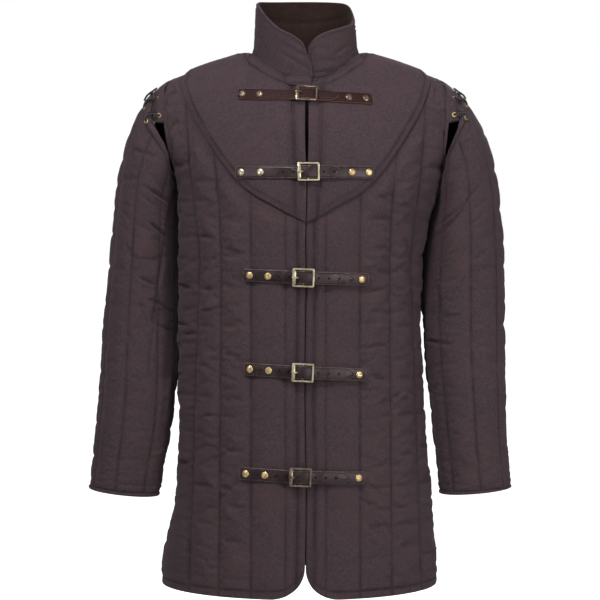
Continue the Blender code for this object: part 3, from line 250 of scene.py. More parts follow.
# Big creases press into the padding: at most CREASE_FLOOR below a stitch line.
CREASE_FLOOR = 0.0016
CREASE_SHARE = 0.85
BODY_CREASES = (
    # side, face, run from the centre, height, tilt, half length, half width, depth
    (RIGHT, BACK, 0.120, -0.470, 20, 0.060, 0.026, 0.0040),
    (RIGHT, BACK, 0.200, -0.610, -30, 0.050, 0.026, 0.0036),
    (RIGHT, BACK, 0.060, -0.760, 25, 0.050, 0.026, 0.0034),
    (LEFT, BACK, 0.090, -0.430, -20, 0.060, 0.026, 0.0040),
    (LEFT, BACK, 0.180, -0.560, 35, 0.050, 0.026, 0.0036),
    (LEFT, BACK, 0.150, -0.740, -25, 0.050, 0.026, 0.0034),
)
SLEEVE_CREASES = (
    # side, face, angle round the sleeve, share of its length, tilt, half length, half width, depth
    (RIGHT, FRONT, 250, 0.480, 10, 0.070, 0.021, 0.0050),
    (RIGHT, FRONT, 230, 0.200, 30, 0.060, 0.021, 0.0045),
    (LEFT, FRONT, 250, 0.500, -12, 0.070, 0.021, 0.0050),
    (LEFT, FRONT, 230, 0.210, -30, 0.060, 0.021, 0.0045),
)

# Folds, listed one by one: from out and height to out and height, in millimetres, then bend, half width and
# depth, in tenths of a millimetre. A fold of less than no depth is a ridge.
BODY_FOLDS = (
    (-140, -323, -111, -331, 0, 52, 20), (-163, -366, -145, -334, 0, 42, 18), (-179, -389, -153, -392, 0, 49, 18),
    (-166, -428, -122, -418, 0, 39, 16), (-137, -347, -166, -418, 32, 39, -16), (-203, -360, -182, -349, 0, 49, 22),
    (-203, -394, -181, -387, 0, 49, 24), (-202, -430, -179, -423, 0, 49, 18), (-203, -470, -177, -465, 0, 49, 28),
    (-205, -509, -176, -502, 0, 39, 24), (-202, -551, -176, -538, 0, 42, 22), (-197, -595, -176, -587, 0, 49, 18),
    (-169, -549, -151, -538, 0, 36, 19), (-168, -600, -150, -598, 0, 36, 19), (-160, -496, -142, -489, 0, 36, 13),
    (-132, -481, -100, -457, 0, 49, 13), (-132, -556, -114, -551, 0, 42, 17), (-132, -605, -104, -598, 0, 42, 17),
    (-100, -493, -121, -524, -32, 39, 21), (-203, -684, -176, -669, 0, 49, 26), (-177, -686, -145, -664, 0, 45, 30),
    (-145, -668, -106, -645, 0, 39, 17), (-111, -684, -161, -754, 97, 81, 30), (-101, -710, -132, -768, 49, 65, -17),
    (-40, -716, -46, -771, 0, 65, 18), (-36, -783, -19, -781, 0, 39, 14), (-197, -825, -148, -817, 0, 49, 23),
    (-194, -765, -190, -810, 0, 49, 13), (-185, -97, -184, -165, 0, 49, 15), (-148, -768, -129, -765, 0, 49, 12),
    (40, -311, 61, -269, 0, 29, 8), (98, -347, 143, -339, 16, 32, 13), (93, -363, 116, -371, 0, 39, 17),
    (124, -371, 158, -360, -16, 39, 19), (104, -396, 137, -387, 0, 36, 16), (142, -407, 161, -402, 0, 36, 15),
    (134, -431, 161, -426, 0, 45, 24), (75, -451, 134, -446, 32, 52, 17), (72, -489, 117, -485, 0, 36, 15),
    (87, -507, 116, -543, 32, 45, 26), (88, -556, 122, -554, 0, 42, 19), (139, -574, 161, -556, 0, 36, 17),
    (87, -596, 126, -622, 0, 42, 21), (143, -637, 163, -632, 0, 36, 15), (140, -677, 161, -674, 0, 36, 15),
    (151, -656, 166, -642, 0, 32, 14), (93, -700, 126, -728, 0, 42, 23), (75, -723, 126, -750, 0, 49, 25),
    (139, -747, 174, -745, 0, 42, 21), (90, -763, 129, -801, 0, 52, 25), (143, -815, 184, -797, 0, 39, 17),
    (40, -775, 75, -794, 0, 42, 11), (189, -234, 208, -259, 0, 42, 17), (156, -308, 171, -332, 0, 39, 17),
    (166, -358, 185, -347, 0, 36, 14), (147, -282, 153, -327, 0, 49, 9),
)
SLEEVE_FOLDS = {
    RIGHT: (
        (-293, -158, -219, -184, -25, 38, 30), (-313, -214, -272, -209, 0, 50, 15), (-265, -224, -222, -251, 0, 43, 29),
        (-312, -251, -284, -284, 0, 50, 17), (-262, -279, -229, -308, 0, 43, 30), (-300, -312, -284, -350, 0, 43, 13),
        (-277, -373, -246, -388, 0, 40, 25), (-264, -408, -212, -441, 33, 40, 29), (-259, -431, -219, -428, 0, 36, 21),
        (-255, -447, -216, -469, 0, 43, 29), (-275, -411, -260, -462, 0, 50, 17), (-313, -505, -290, -505, 0, 33, 11),
        (-317, -611, -282, -611, 0, 33, 9), (-227, -474, -241, -643, 0, 33, 14), (-257, -348, -224, -332, 0, 50, 12),
        (-297, -461, -280, -497, 0, 50, 10), (-214, -190, -234, -302, 0, 30, 32), (-234, -302, -252, -444, 0, 30, 34),
        (-252, -444, -262, -560, 0, 32, 18), (-232, -292, -206, -288, 0, 40, 34), (-249, -413, -227, -429, 0, 26, 32),
        (-214, -430, -232, -457, 0, 28, 36), (-233, -459, -206, -459, 0, 30, 36),
    ),
    LEFT: (
        (236, -178, 277, -143, 25, 36, 28), (214, -289, 262, -249, -33, 33, 26), (211, -312, 272, -242, -33, 38, 30),
        (269, -292, 297, -262, 0, 43, 16), (227, -348, 257, -317, 0, 50, -17), (237, -406, 265, -366, -33, 40, 24),
        (227, -441, 260, -433, 0, 46, 25), (232, -466, 260, -461, 0, 66, -18), (201, -480, 244, -485, 0, 40, 29),
        (206, -348, 227, -441, 17, 36, 17), (270, -487, 295, -464, 0, 50, 16), (267, -618, 302, -583, 0, 30, 18),
        (287, -221, 265, -249, 0, 36, 17), (242, -204, 272, -180, 0, 50, 14), (279, -348, 298, -328, 0, 50, 12),
    ),
}
LEAST_RISE = -0.0012

# The front of each sleeve head leans over to the armhole edge: angle, how far.
HEAD_LEAN = {
    RIGHT: ((60, 0.0), (72, 0.002), (85, 0.0085), (100, 0.0140), (115, 0.0130), (130, 0.0070), (145, 0.0020),
            (165, 0.0)),
    LEFT: ((58, 0.0), (70, 0.003), (85, 0.0080), (100, 0.0120), (115, 0.0145), (130, 0.0125), (145, 0.0095),
           (160, 0.0070), (175, 0.0050), (190, 0.0030), (212, 0.0)),
}
HEAD_LEAN_REACH = {RIGHT: 0.085, LEFT: 0.110}
# Where the inside of each sleeve rests against the body: top and bottom of the stretch, how far it bulges.
SLEEVE_REST = {RIGHT: (-0.200, -0.580, 0.0078), LEFT: (-0.215, -0.455, 0.0062)}

# Shoulder strips and laces.
STRIP_END = 0.50
STRIP_GAP = 0.0065
STRIP_SEAM = 0.0022
STRIP_SINK = 0.0010
STRIP_HALF_THICKNESS = 0.0034
STRIP_RIDGE = 0.13
STRIP_STEPS = 18
STRIP_STITCHES = 0.80
ARMHOLE_MIDDLE = -0.130
HEAD_ANGLE = 72
LACE_DIAMETER = 0.0030
LACE_TURNS = 6
LACE_END = 0.86
LACE_LEAD = 0.10
LACE_OVER_STRIP = 0.0003
LACE_OVER_SLEEVE = 0.0011
LACE_HANG = {RIGHT: (0.0025, -0.0040, -0.0080), LEFT: (-0.0010, -0.0050, -0.0180)}
LACE_STEP = 0.0060
GROOVE_DEPTH = 0.0014
GROOVE_PLACE = 0.40
EYELET_INSET = 0.0085
LACE_BIGHT = (
    # laid on, how far ahead along the armhole, how far in from the edge or down into the groove
    ("groove", -0.075, GROOVE_DEPTH),
    ("strip", -0.035, 0.0),
    ("strip", -0.015, EYELET_INSET),
    ("strip", 0.012, 0.0),
    ("sleeve", 0.012, 0.0015),
    ("sleeve", 0.010, EYELET_INSET),
    ("sleeve", 0.055, 0.0015),
    ("groove", 0.085, GROOVE_DEPTH),
)

# Straps: height at the middle, fall over each metre to the wearer's left, lift off the stitch lines,
# then places across the front from its centre, and the holes' places from the buckle's middle.
STRAP_WIDTH = 0.020
STRAP_THICKNESS = 0.0022
STRAP_GAP = 0.0003
STRAP_COLUMNS = ("name", "height", "fall", "lift", "end", "rivet_a", "rivet_b", "buckle", "tip", "chape", "rivet_c",
                 "rivet_d", "holes")
STRAPS = [dict(zip(STRAP_COLUMNS, row)) for row in (
    ("strap_1", -0.0800, 0.038, 0.0059, -0.1090, -0.1020, -0.0732, 0.0020, 0.0520, 0.1078, 0.0961, 0.0693,
     (-0.0565, -0.0395, -0.0222, 0.0236)),
    ("strap_2", -0.2030, 0.000, 0.0059, -0.1100, -0.1010, -0.0708, 0.0045, 0.0560, 0.1070, 0.1000, 0.0732,
     (-0.0400, -0.0230, 0.0240, 0.0400)),
    ("strap_3", -0.3710, 0.036, 0.0051, -0.0981, -0.0880, -0.0592, -0.0033, 0.0761, 0.0989, 0.0883, None,
     (-0.0378, -0.0215, 0.0235, 0.0395, 0.0555)),
    ("strap_4", -0.5235, 0.050, 0.0054, -0.0965, -0.0875, -0.0580, -0.0043, 0.0761, 0.0949, 0.0843, None,
     (-0.0370, -0.0215, 0.0235, 0.0395, 0.0555)),
    ("strap_5", -0.6905, 0.036, 0.0049, -0.1031, -0.0941, -0.0638, -0.0079, 0.0696, 0.0933, 0.0835, None,
     (-0.0380, -0.0215, 0.0235, 0.0395, 0.0550)),
)]
BUCKLE_WIDTH = 0.0355
BUCKLE_HEIGHT = 0.0305
BUCKLE_BAR = 0.0032
BUCKLE_THICKNESS = 0.0024
BUCKLE_DIP = 0.0008
NEAR_BAR_SWELL = 1.35
TOUCH = 1e-4
RIVET_RADIUS = 0.0055
RIVET_SEAT = 0.0005
HOLE_RADIUS = 0.00175
PRONG_HOLE = -0.0068
# A billet's "edge" mark at this value is dark, as a creased line is; in the punched holes this darkness is painted
# shade.
DARK_MARK = 0.0019

# The camera: its place, its lens in millimetres, and how far the frame slides, as shares of its width.
CAMERA_PLACE = (0.0, -3.0, -0.287)
CAMERA_LENS = 106.68
FRAME_SLIDE = (-5.5 / 600, -75.0 / 600)

# Lights: place, aim, size, power.
LIGHTS = {
    "key": ((-0.9, -2.1, 2.3), (0.0, 0.0, -0.10), 0.6, 10.8),
    "fill": ((2.0, -2.2, 0.3), (0.1, 0.0, -0.25), 0.9, 27.0),
    "back": ((0.8, 2.8, 1.6), (0.0, 0.0, -0.3), 1.2, 30.0),
    "card for the brass": ((0.0, -3.8, 0.3), (0.0, 0.0, -0.3), 2.6, 11.0),
    "right card for the leather": ((1.5, -3.0, -0.45), (0.0, 0.0, -0.4), 0.9, 16.0),
    "left card for the leather": ((-2.0, -2.5, 0.45), (0.0, 0.0, -0.2), 0.6, 12.0),
}
KEY_SPREAD = 70
FLOOR_HEIGHT = -1.45


# ---- The camera ----


def add_object(name, data):
    """A new object in the scene."""
    thing = bpy.data.objects.new(name, data)
    bpy.context.scene.collection.objects.link(thing)
    return thing


def place_camera():
    """In front of the chest, level, with the frame slid down to the hem."""
    data = bpy.data.cameras.new("camera")
    data.lens = CAMERA_LENS
    data.sensor_width = 36.0
    data.shift_x, data.shift_y = FRAME_SLIDE
    camera = add_object("camera", data)
    camera.location = CAMERA_PLACE
    camera.rotation_euler = (math.pi / 2, 0.0, 0.0)
    bpy.context.scene.camera = camera


# ---- Shared measures ----


def smoothstep(x):
    x = np.clip(x, 0.0, 1.0)
    return x * x * (3 - 2 * x)


def unit(vectors):
    return vectors / np.linalg.norm(vectors, axis=-1, keepdims=True)


def joined(x, y, z):
    return np.stack(np.broadcast_arrays(x, y, z), axis=-1)


def lead(values):
    """Numbers that multiply points or directions."""
    return np.asarray(values)[..., None]


def bell(x, width):
    """One at nothing, dying away on both sides."""
    return np.exp(-((x / width) ** 2))


def arch(x, power=1):
    """A round rise and fall as x goes from 0 to 1."""
    return np.sin(math.pi * np.clip(x, 0, 1)) ** power


def filling(run, reach):
    """From nothing to full over a reach, steep at first."""
    return arch(np.clip(run / reach, 0, 1) / 2, 0.5)


def turned(across, up, turn):
    """Lengths along and across something that is turned so far."""
    return across * math.cos(turn) + up * math.sin(turn), up * math.cos(turn) - across * math.sin(turn)


def along(table, column, key):
    """One column of a table at keys of its first column, on a smooth curve through the rows."""
    rows = np.array(table, float)
    keys, values = rows[:, 0], rows[:, column]
    spans = np.diff(values) / np.diff(keys)
    slopes = np.empty(len(keys))
    slopes[0], slopes[-1] = spans[0], spans[-1]
    slopes[1:-1] = (values[2:] - values[:-2]) / (keys[2:] - keys[:-2])
    key = np.asarray(key, float)
    row = np.clip(np.searchsorted(keys, key, side="right") - 1, 0, len(keys) - 2)
    run = keys[row + 1] - keys[row]
    x = np.clip((key - keys[row]) / run, 0.0, 1.0)
    return (
        values[row] * (1 + 2 * x) * (1 - x) ** 2
        + values[row + 1] * x * x * (3 - 2 * x)
        + run * (slopes[row] * x * (1 - x) ** 2 - slopes[row + 1] * x * x * (1 - x))
    )


# ---- Body surface ----

QUARTER = np.linspace(0, math.pi / 2, 49)
QUARTER_MIDDLES = (QUARTER[1:] + QUARTER[:-1]) / 2


def quarter_angle(share, half_width, depth):
    """The angles that cut off these shares of a quarter oval's length, from its front."""
    share, half_width, depth = np.broadcast_arrays(share, half_width, depth)
    steps = np.hypot(lead(half_width) * np.cos(QUARTER_MIDDLES), lead(depth) * np.sin(QUARTER_MIDDLES))
    run = np.concatenate((np.zeros(steps.shape[:-1] + (1,)), np.cumsum(steps, axis=-1)), axis=-1)
    goal = share * run[..., -1]
    spot = np.clip((run[..., 1:] < lead(goal)).sum(axis=-1), 0, len(QUARTER) - 2)
    low = np.take_along_axis(run, lead(spot), -1)[..., 0]
    high = np.take_along_axis(run, lead(spot + 1), -1)[..., 0]
    return QUARTER[spot] + np.clip((goal - low) / (high - low), 0.0, 1.0) * (QUARTER[1] - QUARTER[0])


def below_arms(side, face, share, height):
    half_width = along(TORSO, TORSO_COLUMNS[SIDE_NAMES[side]], height)
    depth = along(TORSO, TORSO_COLUMNS["front" if face == FRONT else "back"], height)
    spread = along(TORSO, TORSO_COLUMNS["spread"], height)
    angle = quarter_angle(share + spread * share * (1 - share), half_width, depth)
    return joined(side * half_width * np.sin(angle), face * depth * np.cos(angle), height)


def top_share(share):
    """Columns crowd together towards the shoulder tip."""
    return share * (1 + TOP_CROWDING * (1 - share))


def neck_point(side, face, angle):
    """A point of the neckline, by its angle from the centre front or back."""
    rise = np.sin(angle) ** 2.2
    return joined(
        side * NECK_HALF_WIDTH * np.sin(angle),
        face * NECK_DEPTH[face] * np.cos(angle),
        NECK_HEIGHT[face] + (SHOULDER_NECK_HEIGHT - NECK_HEIGHT[face]) * rise,
    )


def top_edge(side, face, share):
    """A point of the neckline and then of the shoulder line."""
    neck = top_share(NECK_SHARE)
    place = top_share(share)
    run = np.clip((place - neck) / (1 - neck), 0.0, 1.0)
    tip_out, tip_height = SHOULDER_TIP
    out = NECK_HALF_WIDTH + (tip_out - NECK_HALF_WIDTH) * run
    height = SHOULDER_NECK_HEIGHT + (tip_height - SHOULDER_NECK_HEIGHT) * run
    shoulder = joined(side * out, 0.0, height + SHOULDER_CROWN * np.sin(math.pi * run))
    return np.where(lead(place <= neck), neck_point(side, face, math.pi / 2 * np.minimum(place / neck, 1.0)), shoulder)


def above_arms(side, face, share, rise):
    """The chest or upper back: a curve from underarm level up to the top edge, at share rise."""
    foot = below_arms(side, face, share, UNDERARM_HEIGHT)
    lean = (foot - below_arms(side, face, share, UNDERARM_HEIGHT - 0.008)) / 0.008
    head = top_edge(side, face, share)
    guide = [along(YOKE_GUIDE[face], column, share) for column in (1, 2, 3)]
    low = foot + lean * FOOT_REACH
    high = joined(side * guide[0], face * guide[1], guide[2])
    edge = lead(np.maximum(0.0, (share - ARMHOLE_BLEND) / (1 - ARMHOLE_BLEND)) ** 2)
    column = ARMHOLE_COLUMNS[side]
    low_guide, high_guide = ARMHOLE[face]
    low = low + (np.array((side * low_guide[column], face * low_guide[2], low_guide[3])) - low) * edge
    high = high + (np.array((side * high_guide[column], face * high_guide[2], high_guide[3])) - high) * edge
    rise = lead(rise)
    rest = 1 - rise
    return foot * rest**3 + low * 3 * rest * rest * rise + high * 3 * rest * rise * rise + head * rise**3


def hem_height(side, share):
    """The hem rounds up to the front opening's corner and to the side vent's corner."""
    height = np.full(np.shape(share), HEM_HEIGHT)
    corners = [(SIDE_CORNER, (1 - share) * HALF_GIRTH)]
    if side is not None:
        corners.append((HEM_CORNER, share * HALF_GIRTH))
    for radius, run in corners:
        height = height + radius - np.sqrt(radius**2 - (radius - np.minimum(run, radius)) ** 2)
    return height


def body_point(side, face, share, level):
    """The body's stitch-line surface. Level 0 to 1 runs from HEM_HEIGHT to the underarm, 1 to 2 to the top."""
    share, level = paired(share, level)
    low = below_arms(side, face, share, HEM_HEIGHT + BODY_RISE * np.minimum(level, 1.0))
    high = above_arms(side, face, share, np.maximum(level, 1.0) - 1)
    return np.where(lead(level <= 1), low, high)


def paired(first, second):
    """Two sets of numbers, as arrays of one shape."""
    return np.broadcast_arrays(np.asarray(first, float), np.asarray(second, float))


def body_normal(side, face, share, level):
    """The way out from the body's surface, held level along the side seam and the shoulder seam."""
    share, level = paired(share, level)
    step = 0.004
    across = body_point(side, face, np.minimum(share + step, 1.0), level)
    across = across - body_point(side, face, np.maximum(share - step, 0.0), level)
    up = body_point(side, face, share, np.minimum(level + step, 2.0))
    up = up - body_point(side, face, share, np.maximum(level - step, 0.0))
    normal = np.cross(across, up) * -side * face
    normal[..., 0] = np.where(share <= 0.0, 0.0, normal[..., 0])
    on_side_seam = (share >= 0.99) & (level <= 1.0)
    on_shoulder_seam = (share > NECK_SHARE - 1e-6) & (level > 1.99)
    normal[..., 1] = np.where(on_side_seam | on_shoulder_seam, 0.0, normal[..., 1])
    return unit(normal)


SHARE_STEPS = np.linspace(0.0, 1.0, 81)
LEVEL_STEPS = np.linspace(0.0, 2.0, 61)


def line_shares(side):
    """Where a front's stitch lines really run: for each level step, the shares of all its lines."""
    rows = []
    table = np.array(FRONT_LINE_PLACES)
    for level in LEVEL_STEPS:
        points = body_point(side, FRONT, SHARE_STEPS, level)
        out, height = np.maximum.accumulate(np.abs(points[:, 0])), points[:, 2]
        shares = [0.0]
        for column in range(1, table.shape[1]):
            wanted = np.interp(height, table[:, 0], table[:, column])
            shares.append(float(np.interp(0.0, out - wanted, SHARE_STEPS)))
        rows.append(shares + [1.0])
    rows = np.array(rows)
    gap = np.linspace(0.004, 0.05, rows.shape[1])
    for column in range(rows.shape[1] - 2, 0, -1):
        rows[:, column] = np.minimum(rows[:, column], rows[:, column + 1] - gap[column])
    return rows


LINE_SHARES = {side: line_shares(side) for side in (RIGHT, LEFT)}


def along_lines(side, face, share, level, back=False):
    """From the even layout of the stitch lines to where they really run on a front, or back again."""
    if face == BACK:
        return share
    real = [np.interp(level, LEVEL_STEPS, LINE_SHARES[side][:, line]) for line in range(len(FRONT_LINES))]
    even = [np.full(np.shape(share), line) for line in FRONT_LINES]
    old, new = (real, even) if back else (even, real)
    place = np.array(share, float)
    for line in range(len(old) - 1):
        here = (share >= old[line]) & (share <= old[line + 1])
        moved = new[line] + (share - old[line]) / (old[line + 1] - old[line]) * (new[line + 1] - new[line])
        place = np.where(here, moved, place)
    return place


def mantle_edge_height(face, out):
    return along(MANTLE_EDGE, 1, out) * (1.0 if face == FRONT else BACK_MANTLE_DEPTH)


# ---- Padding and folds ----


def pillow(lines, fullness, place):
    """How full the padding is between stitch lines: nothing on a line, round between them."""
    lines = np.array(lines)
    span = np.clip(np.searchsorted(lines, place, side="right") - 1, 0, len(lines) - 2)
    return np.array(fullness)[span] * arch((place - lines[span]) / (lines[span + 1] - lines[span]), PILLOW)


def from_lines(lines, place):
    """How far a place is from the nearest stitch line."""
    return np.min([np.abs(place - line) for line in lines], axis=0)


def big_creases(creases, side, face, from_middle, swell):
    """How deep the big creases press in, without ever reaching the inside of the wall."""
    total = 0.0
    for row_side, row_face, across, up, tilt, half_length, half_width, depth in creases:
        if (row_side, row_face) == (side, face):
            lengthwise, crosswise = turned(*from_middle(across, up), math.radians(tilt))
            total = total + depth * np.exp(-((lengthwise / half_length) ** 2) - (crosswise / half_width) ** 2)
    return np.minimum(total, CREASE_FLOOR + CREASE_SHARE * swell)


def soft_folds(seed, count, width, height, across, up, slant=38.0):
    """Small soft troughs with a ridge on each side, uneven in place, length, slant and depth."""
    draw = np.random.default_rng(seed)
    total = np.zeros(np.shape(across))
    for _ in range(count):
        middle_across, middle_up = draw.uniform(0, width), draw.uniform(0, height)
        turn = math.radians(draw.normal(0, slant))
        half_length = draw.uniform(0.010, 0.038)
        half_width = draw.uniform(0.0035, 0.0085)
        depth = draw.uniform(0.15, 1.0) ** 1.6
        bend = draw.uniform(-6, 6)
        lengthwise, crosswise = turned(across - middle_across, up - middle_up, turn)
        profile = ((crosswise + bend * lengthwise**2) / half_width) ** 2
        total += depth * (1 - 1.1 * profile) * np.exp(-profile - (lengthwise / half_length) ** 2)
    return np.clip(total, -0.8, 1.3)


def laid_folds(rows, out, height):
    """How deep the listed folds press in: soft troughs with a low ridge on each side, or ridges."""
    total = np.zeros(np.shape(out))
    for row in rows:
        start_out, start_height, end_out, end_height = (place / 1000 for place in row[:4])
        bend, half_width, depth = (size / 10000 for size in row[4:])
        go_out, go_up = end_out - start_out, end_height - start_height
        length = math.hypot(go_out, go_up)
        share = ((out - start_out) * go_out + (height - start_height) * go_up) / length**2
        inside = np.clip(share, 0, 1)
        aside = ((height - start_height) * go_out - (out - start_out) * go_up) / length
        aside = (aside - 4 * bend * inside * (1 - inside)) / half_width
        ends = smoothstep((share + 0.12) / 0.42) * smoothstep((1.12 - share) / 0.42)
        total += depth * (1 - 0.9 * aside**2) * np.exp(-(aside**2)) * ends
    return total


def puckers(seed, from_line, run, reach=0.006):
    """Ripples that the stitching draws up on each side of a line: they run along it and die away from it."""
    draw = np.random.default_rng(seed)
    total = np.zeros(np.shape(run))
    for pitch in (0.0105, 0.0152, 0.0231):
        total += np.sin(2 * math.pi * run / pitch + draw.uniform(0, 6) + 0.9 * np.sin(run * draw.uniform(30, 70)))
    near = bell(from_line, reach) * smoothstep(from_line / 0.0016)
    return total / 3 * near


def rounded_off(from_edge, radius=0.0018):
    """How far a cut edge rolls down, by the distance in from it."""
    inset = np.clip(radius - from_edge, 0.0, radius)
    return radius - np.sqrt(radius**2 - inset**2)


def fan(stops, step, gather=0.35):
    """Places from the first stop to the last: every stop, and between them steps that are finer near each stop."""
    places = [stops[0]]
    for start, end in zip(stops, stops[1:]):
        count = max(1, round((end - start) / step))
        t = np.arange(1, count + 1) / count
        t = t - gather * np.sin(2 * math.pi * t) / (2 * math.pi)
        places += list(start + (end - start) * t)
    return np.array(places)


def body_rise(side, face, share, level, puff, point, grain):
    """How far the padded outside stands off the stitch-line surface."""
    out, height = point[..., 0], point[..., 2]
    below_edge = mantle_edge_height(face, np.maximum(np.abs(out) - MANTLE_SHADOW, 0.0)) - height
    cover = smoothstep((0.034 - below_edge) / 0.028)
    cover = cover * (1 - smoothstep((level - 1.92) / 0.03) * (1 - smoothstep((share - 0.15) / 0.05)))
    by_armhole = np.minimum(cover, smoothstep((1.0 - share) / 0.07))
    cover = np.where((share > 0.93) & (level > 1.5), by_armhole, cover)
    uneven = 1 + 0.16 * np.sin(61 * height + 9 * share * side) + 0.10 * np.sin(143 * height + 21 * share)
    swell = BODY_PUFF * puff * uneven / 1.26
    swell = swell * (1 - (1 - MANTLE_HOLLOW) * cover)
    dent = big_creases(
        BODY_CREASES, side, face, lambda run, middle: (share * HALF_GIRTH - run, height - middle), swell
    )
    edge_hold = smoothstep(np.minimum(share, 1 - share) * HALF_GIRTH / 0.03)
    edge_hold = edge_hold * smoothstep((height - HEM_HEIGHT) / 0.03)
    swell = swell - dent * edge_hold * (1 - cover)
    rise = swell * (1 - FOLD_SHARE * grain * (1 - cover))
    folds = laid_folds(BODY_FOLDS, out, height) if face == FRONT else laid_folds(BODY_FOLDS, -out, height + 0.034)
    hold = smoothstep((1.0 - share) * HALF_GIRTH / 0.016) * smoothstep((height - HEM_HEIGHT) / 0.02)
    return np.maximum(rise - folds * hold * (1 - cover), np.minimum(rise, LEAST_RISE))


# ---- Mesh building ----


def rim_faces(outer, inner, kept):
    """Faces between a run of outer points and the fewer inner points that lie behind some of them."""
    faces = []
    for first in range(len(kept) - 1):
        start, end = kept[first], kept[first + 1]
        middle = (start + end) // 2
        faces += [(inner[first], outer[step], outer[step + 1]) for step in range(start, middle)]
        faces.append((inner[first], outer[middle], inner[first + 1]))
        faces += [(inner[first + 1], outer[step], outer[step + 1]) for step in range(middle, end)]
    return faces


def every(step, count):
    """Indices 0, step, 2 step... that always end with the last."""
    kept = list(range(0, count - 1, step))
    if count - 1 - kept[-1] < step / 2 and len(kept) > 1:
        kept.pop()
    return kept + [count - 1]


def grid_faces(rows, columns, first, tube, flip=False):
    """Faces of a grid of points, as rows of four indices."""
    row, column = np.meshgrid(np.arange(rows - 1), np.arange(columns if tube else columns - 1), indexing="ij")
    after = (column + 1) % columns
    corners = (row * columns + column, row * columns + after, (row + 1) * columns + after, (row + 1) * columns + column)
    faces = np.stack([first + corner.ravel() for corner in corners], axis=1)
    return (faces[:, ::-1] if flip else faces).tolist()


def ring_faces(rows, ring):
    """Faces of a closed band of rings, with a face at each end."""
    last = (rows - 1) * ring
    return grid_faces(rows, ring, 0, True) + [list(range(ring)), [last + j for j in range(ring)]]


def finish_mesh(name, points, faces, sharp=50.0):
    """A closed mesh, facing outwards, smooth but for its sharp edges."""
    mesh = bpy.data.meshes.new(name)
    mesh.from_pydata(np.asarray(points, float).tolist(), [], faces)
    shape = bmesh.new()
    shape.from_mesh(mesh)
    bmesh.ops.recalc_face_normals(shape, faces=shape.faces)
    if shape.calc_volume(signed=True) < 0:
        bmesh.ops.reverse_faces(shape, faces=shape.faces)
    shape.to_mesh(mesh)
    shape.free()
    mesh.shade_smooth()
    mesh.set_sharp_from_angle(angle=math.radians(sharp))
    return add_object(name, mesh)


def add_marks(thing, marks):
    """Puts a number for each point on a mesh, under a name that its material reads."""
    for name, values in marks.items():
        attribute = thing.data.attributes.new(name, "FLOAT", "POINT")
        attribute.data.foreach_set("value", np.asarray(values, np.float32))


def add_flat(thing, across, up, wrap=None):
    """The flat cut as a UV map, in metres. On a tube, the last faces run on past the wrap."""
    mesh = thing.data
    corner = np.empty(len(mesh.loops), np.int32)
    mesh.loops.foreach_get("vertex_index", corner)
    flat = np.stack((np.asarray(across)[corner], np.asarray(up)[corner]), axis=1)
    if wrap is not None:
        owner, size = np.empty((2, len(mesh.polygons)), np.int32)
        mesh.polygons.foreach_get("loop_start", owner)
        mesh.polygons.foreach_get("loop_total", size)
        highest = np.repeat(np.maximum.reduceat(flat[:, 0], owner), size)
        flat[:, 0] += np.where(highest - flat[:, 0] > wrap / 2, wrap, 0.0)
    mesh.uv_layers.new(name="cut").data.foreach_set("uv", flat.astype(np.float32).ravel())


def wall(name, outer, inner, marks, materials, step=3, tube=False, wrap=None):
    """A closed wall of cloth: a fine outer grid over a plainer lining, joined round the edges.

    marks holds grids of numbers to keep at each point; "across" and "up" are the flat cut."""
    rows, columns = outer.shape[:2]
    kept_rows = every(step, rows)
    kept_columns = list(range(0, columns, step)) if tube else every(step, columns)
    kept = np.ix_(kept_rows, kept_columns)
    first = rows * columns
    faces = grid_faces(rows, columns, 0, tube)
    lining_start = len(faces)
    faces += grid_faces(len(kept_rows), len(kept_columns), first, tube, True)
    rim_start = len(faces)

    def out(row, column):
        return row * columns + column % columns

    def into(row, column):
        return first + row * len(kept_columns) + column % len(kept_columns)

    edge_columns = kept_columns + ([columns] if tube else [])
    for row, inner_row in ((0, 0), (rows - 1, len(kept_rows) - 1)):
        outside = [out(row, column) for column in range(edge_columns[-1] + 1)]
        faces += rim_faces(outside, [into(inner_row, column) for column in range(len(edge_columns))], edge_columns)
    if not tube:
        for column, inner_column in ((0, 0), (columns - 1, len(kept_columns) - 1)):
            outside = [out(row, column) for row in range(rows)]
            faces += rim_faces(outside, [into(row, inner_column) for row in range(len(kept_rows))], kept_rows)
    thing = finish_mesh(name, np.concatenate((outer.reshape(-1, 3), inner[kept].reshape(-1, 3))), faces)
    held = {key: np.concatenate((grid.ravel(), grid[kept].ravel())) for key, grid in marks.items()}
    add_flat(thing, held.pop("across"), held.pop("up"), wrap)
    add_marks(thing, held)
    for material in materials:
        thing.data.materials.append(material)
    which = np.zeros(len(faces), np.int32)
    which[lining_start:rim_start] = 1
    thing.data.polygons.foreach_set("material_index", which)
    return thing


def dress(piece, nodes):
    """A finished piece rides on the body and stands for its CAD nodes, which are hidden."""
    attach(piece, "root")
    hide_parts(*nodes)
    return piece


def sew(name, grids, materials, **how):
    """A cloth piece from its outer and inner points and its marks, standing in for its own CAD node."""
    return dress(wall(name + "_cloth", *grids, materials, **how), [name])


# ---- Quilting ----


def swatches():
    """What is cut flat for each quilted piece: width, height, stitch lines, extra cloth and a seed."""
    fronts, backs = np.array(FRONT_LINES) * HALF_GIRTH, np.array(BACK_LINES) * HALF_GIRTH
    cut = {}
    for side in (RIGHT, LEFT):
        cut[FRONT, side] = (HALF_GIRTH, 0.93, fronts, 0.0065, 20 + side)
        cut[BACK, side] = (HALF_GIRTH, 0.93, backs, 0.0065, 40 + side)
        turns = (np.array(SLEEVE_LINES[side]) - SLEEVE_LINES[side][0]) * math.pi / 180 * ARM_RADIUS
        cut["sleeve", side] = (SLEEVE_GIRTH, SLEEVE_LENGTH, turns, 0.0090, 60 + side)
    return cut


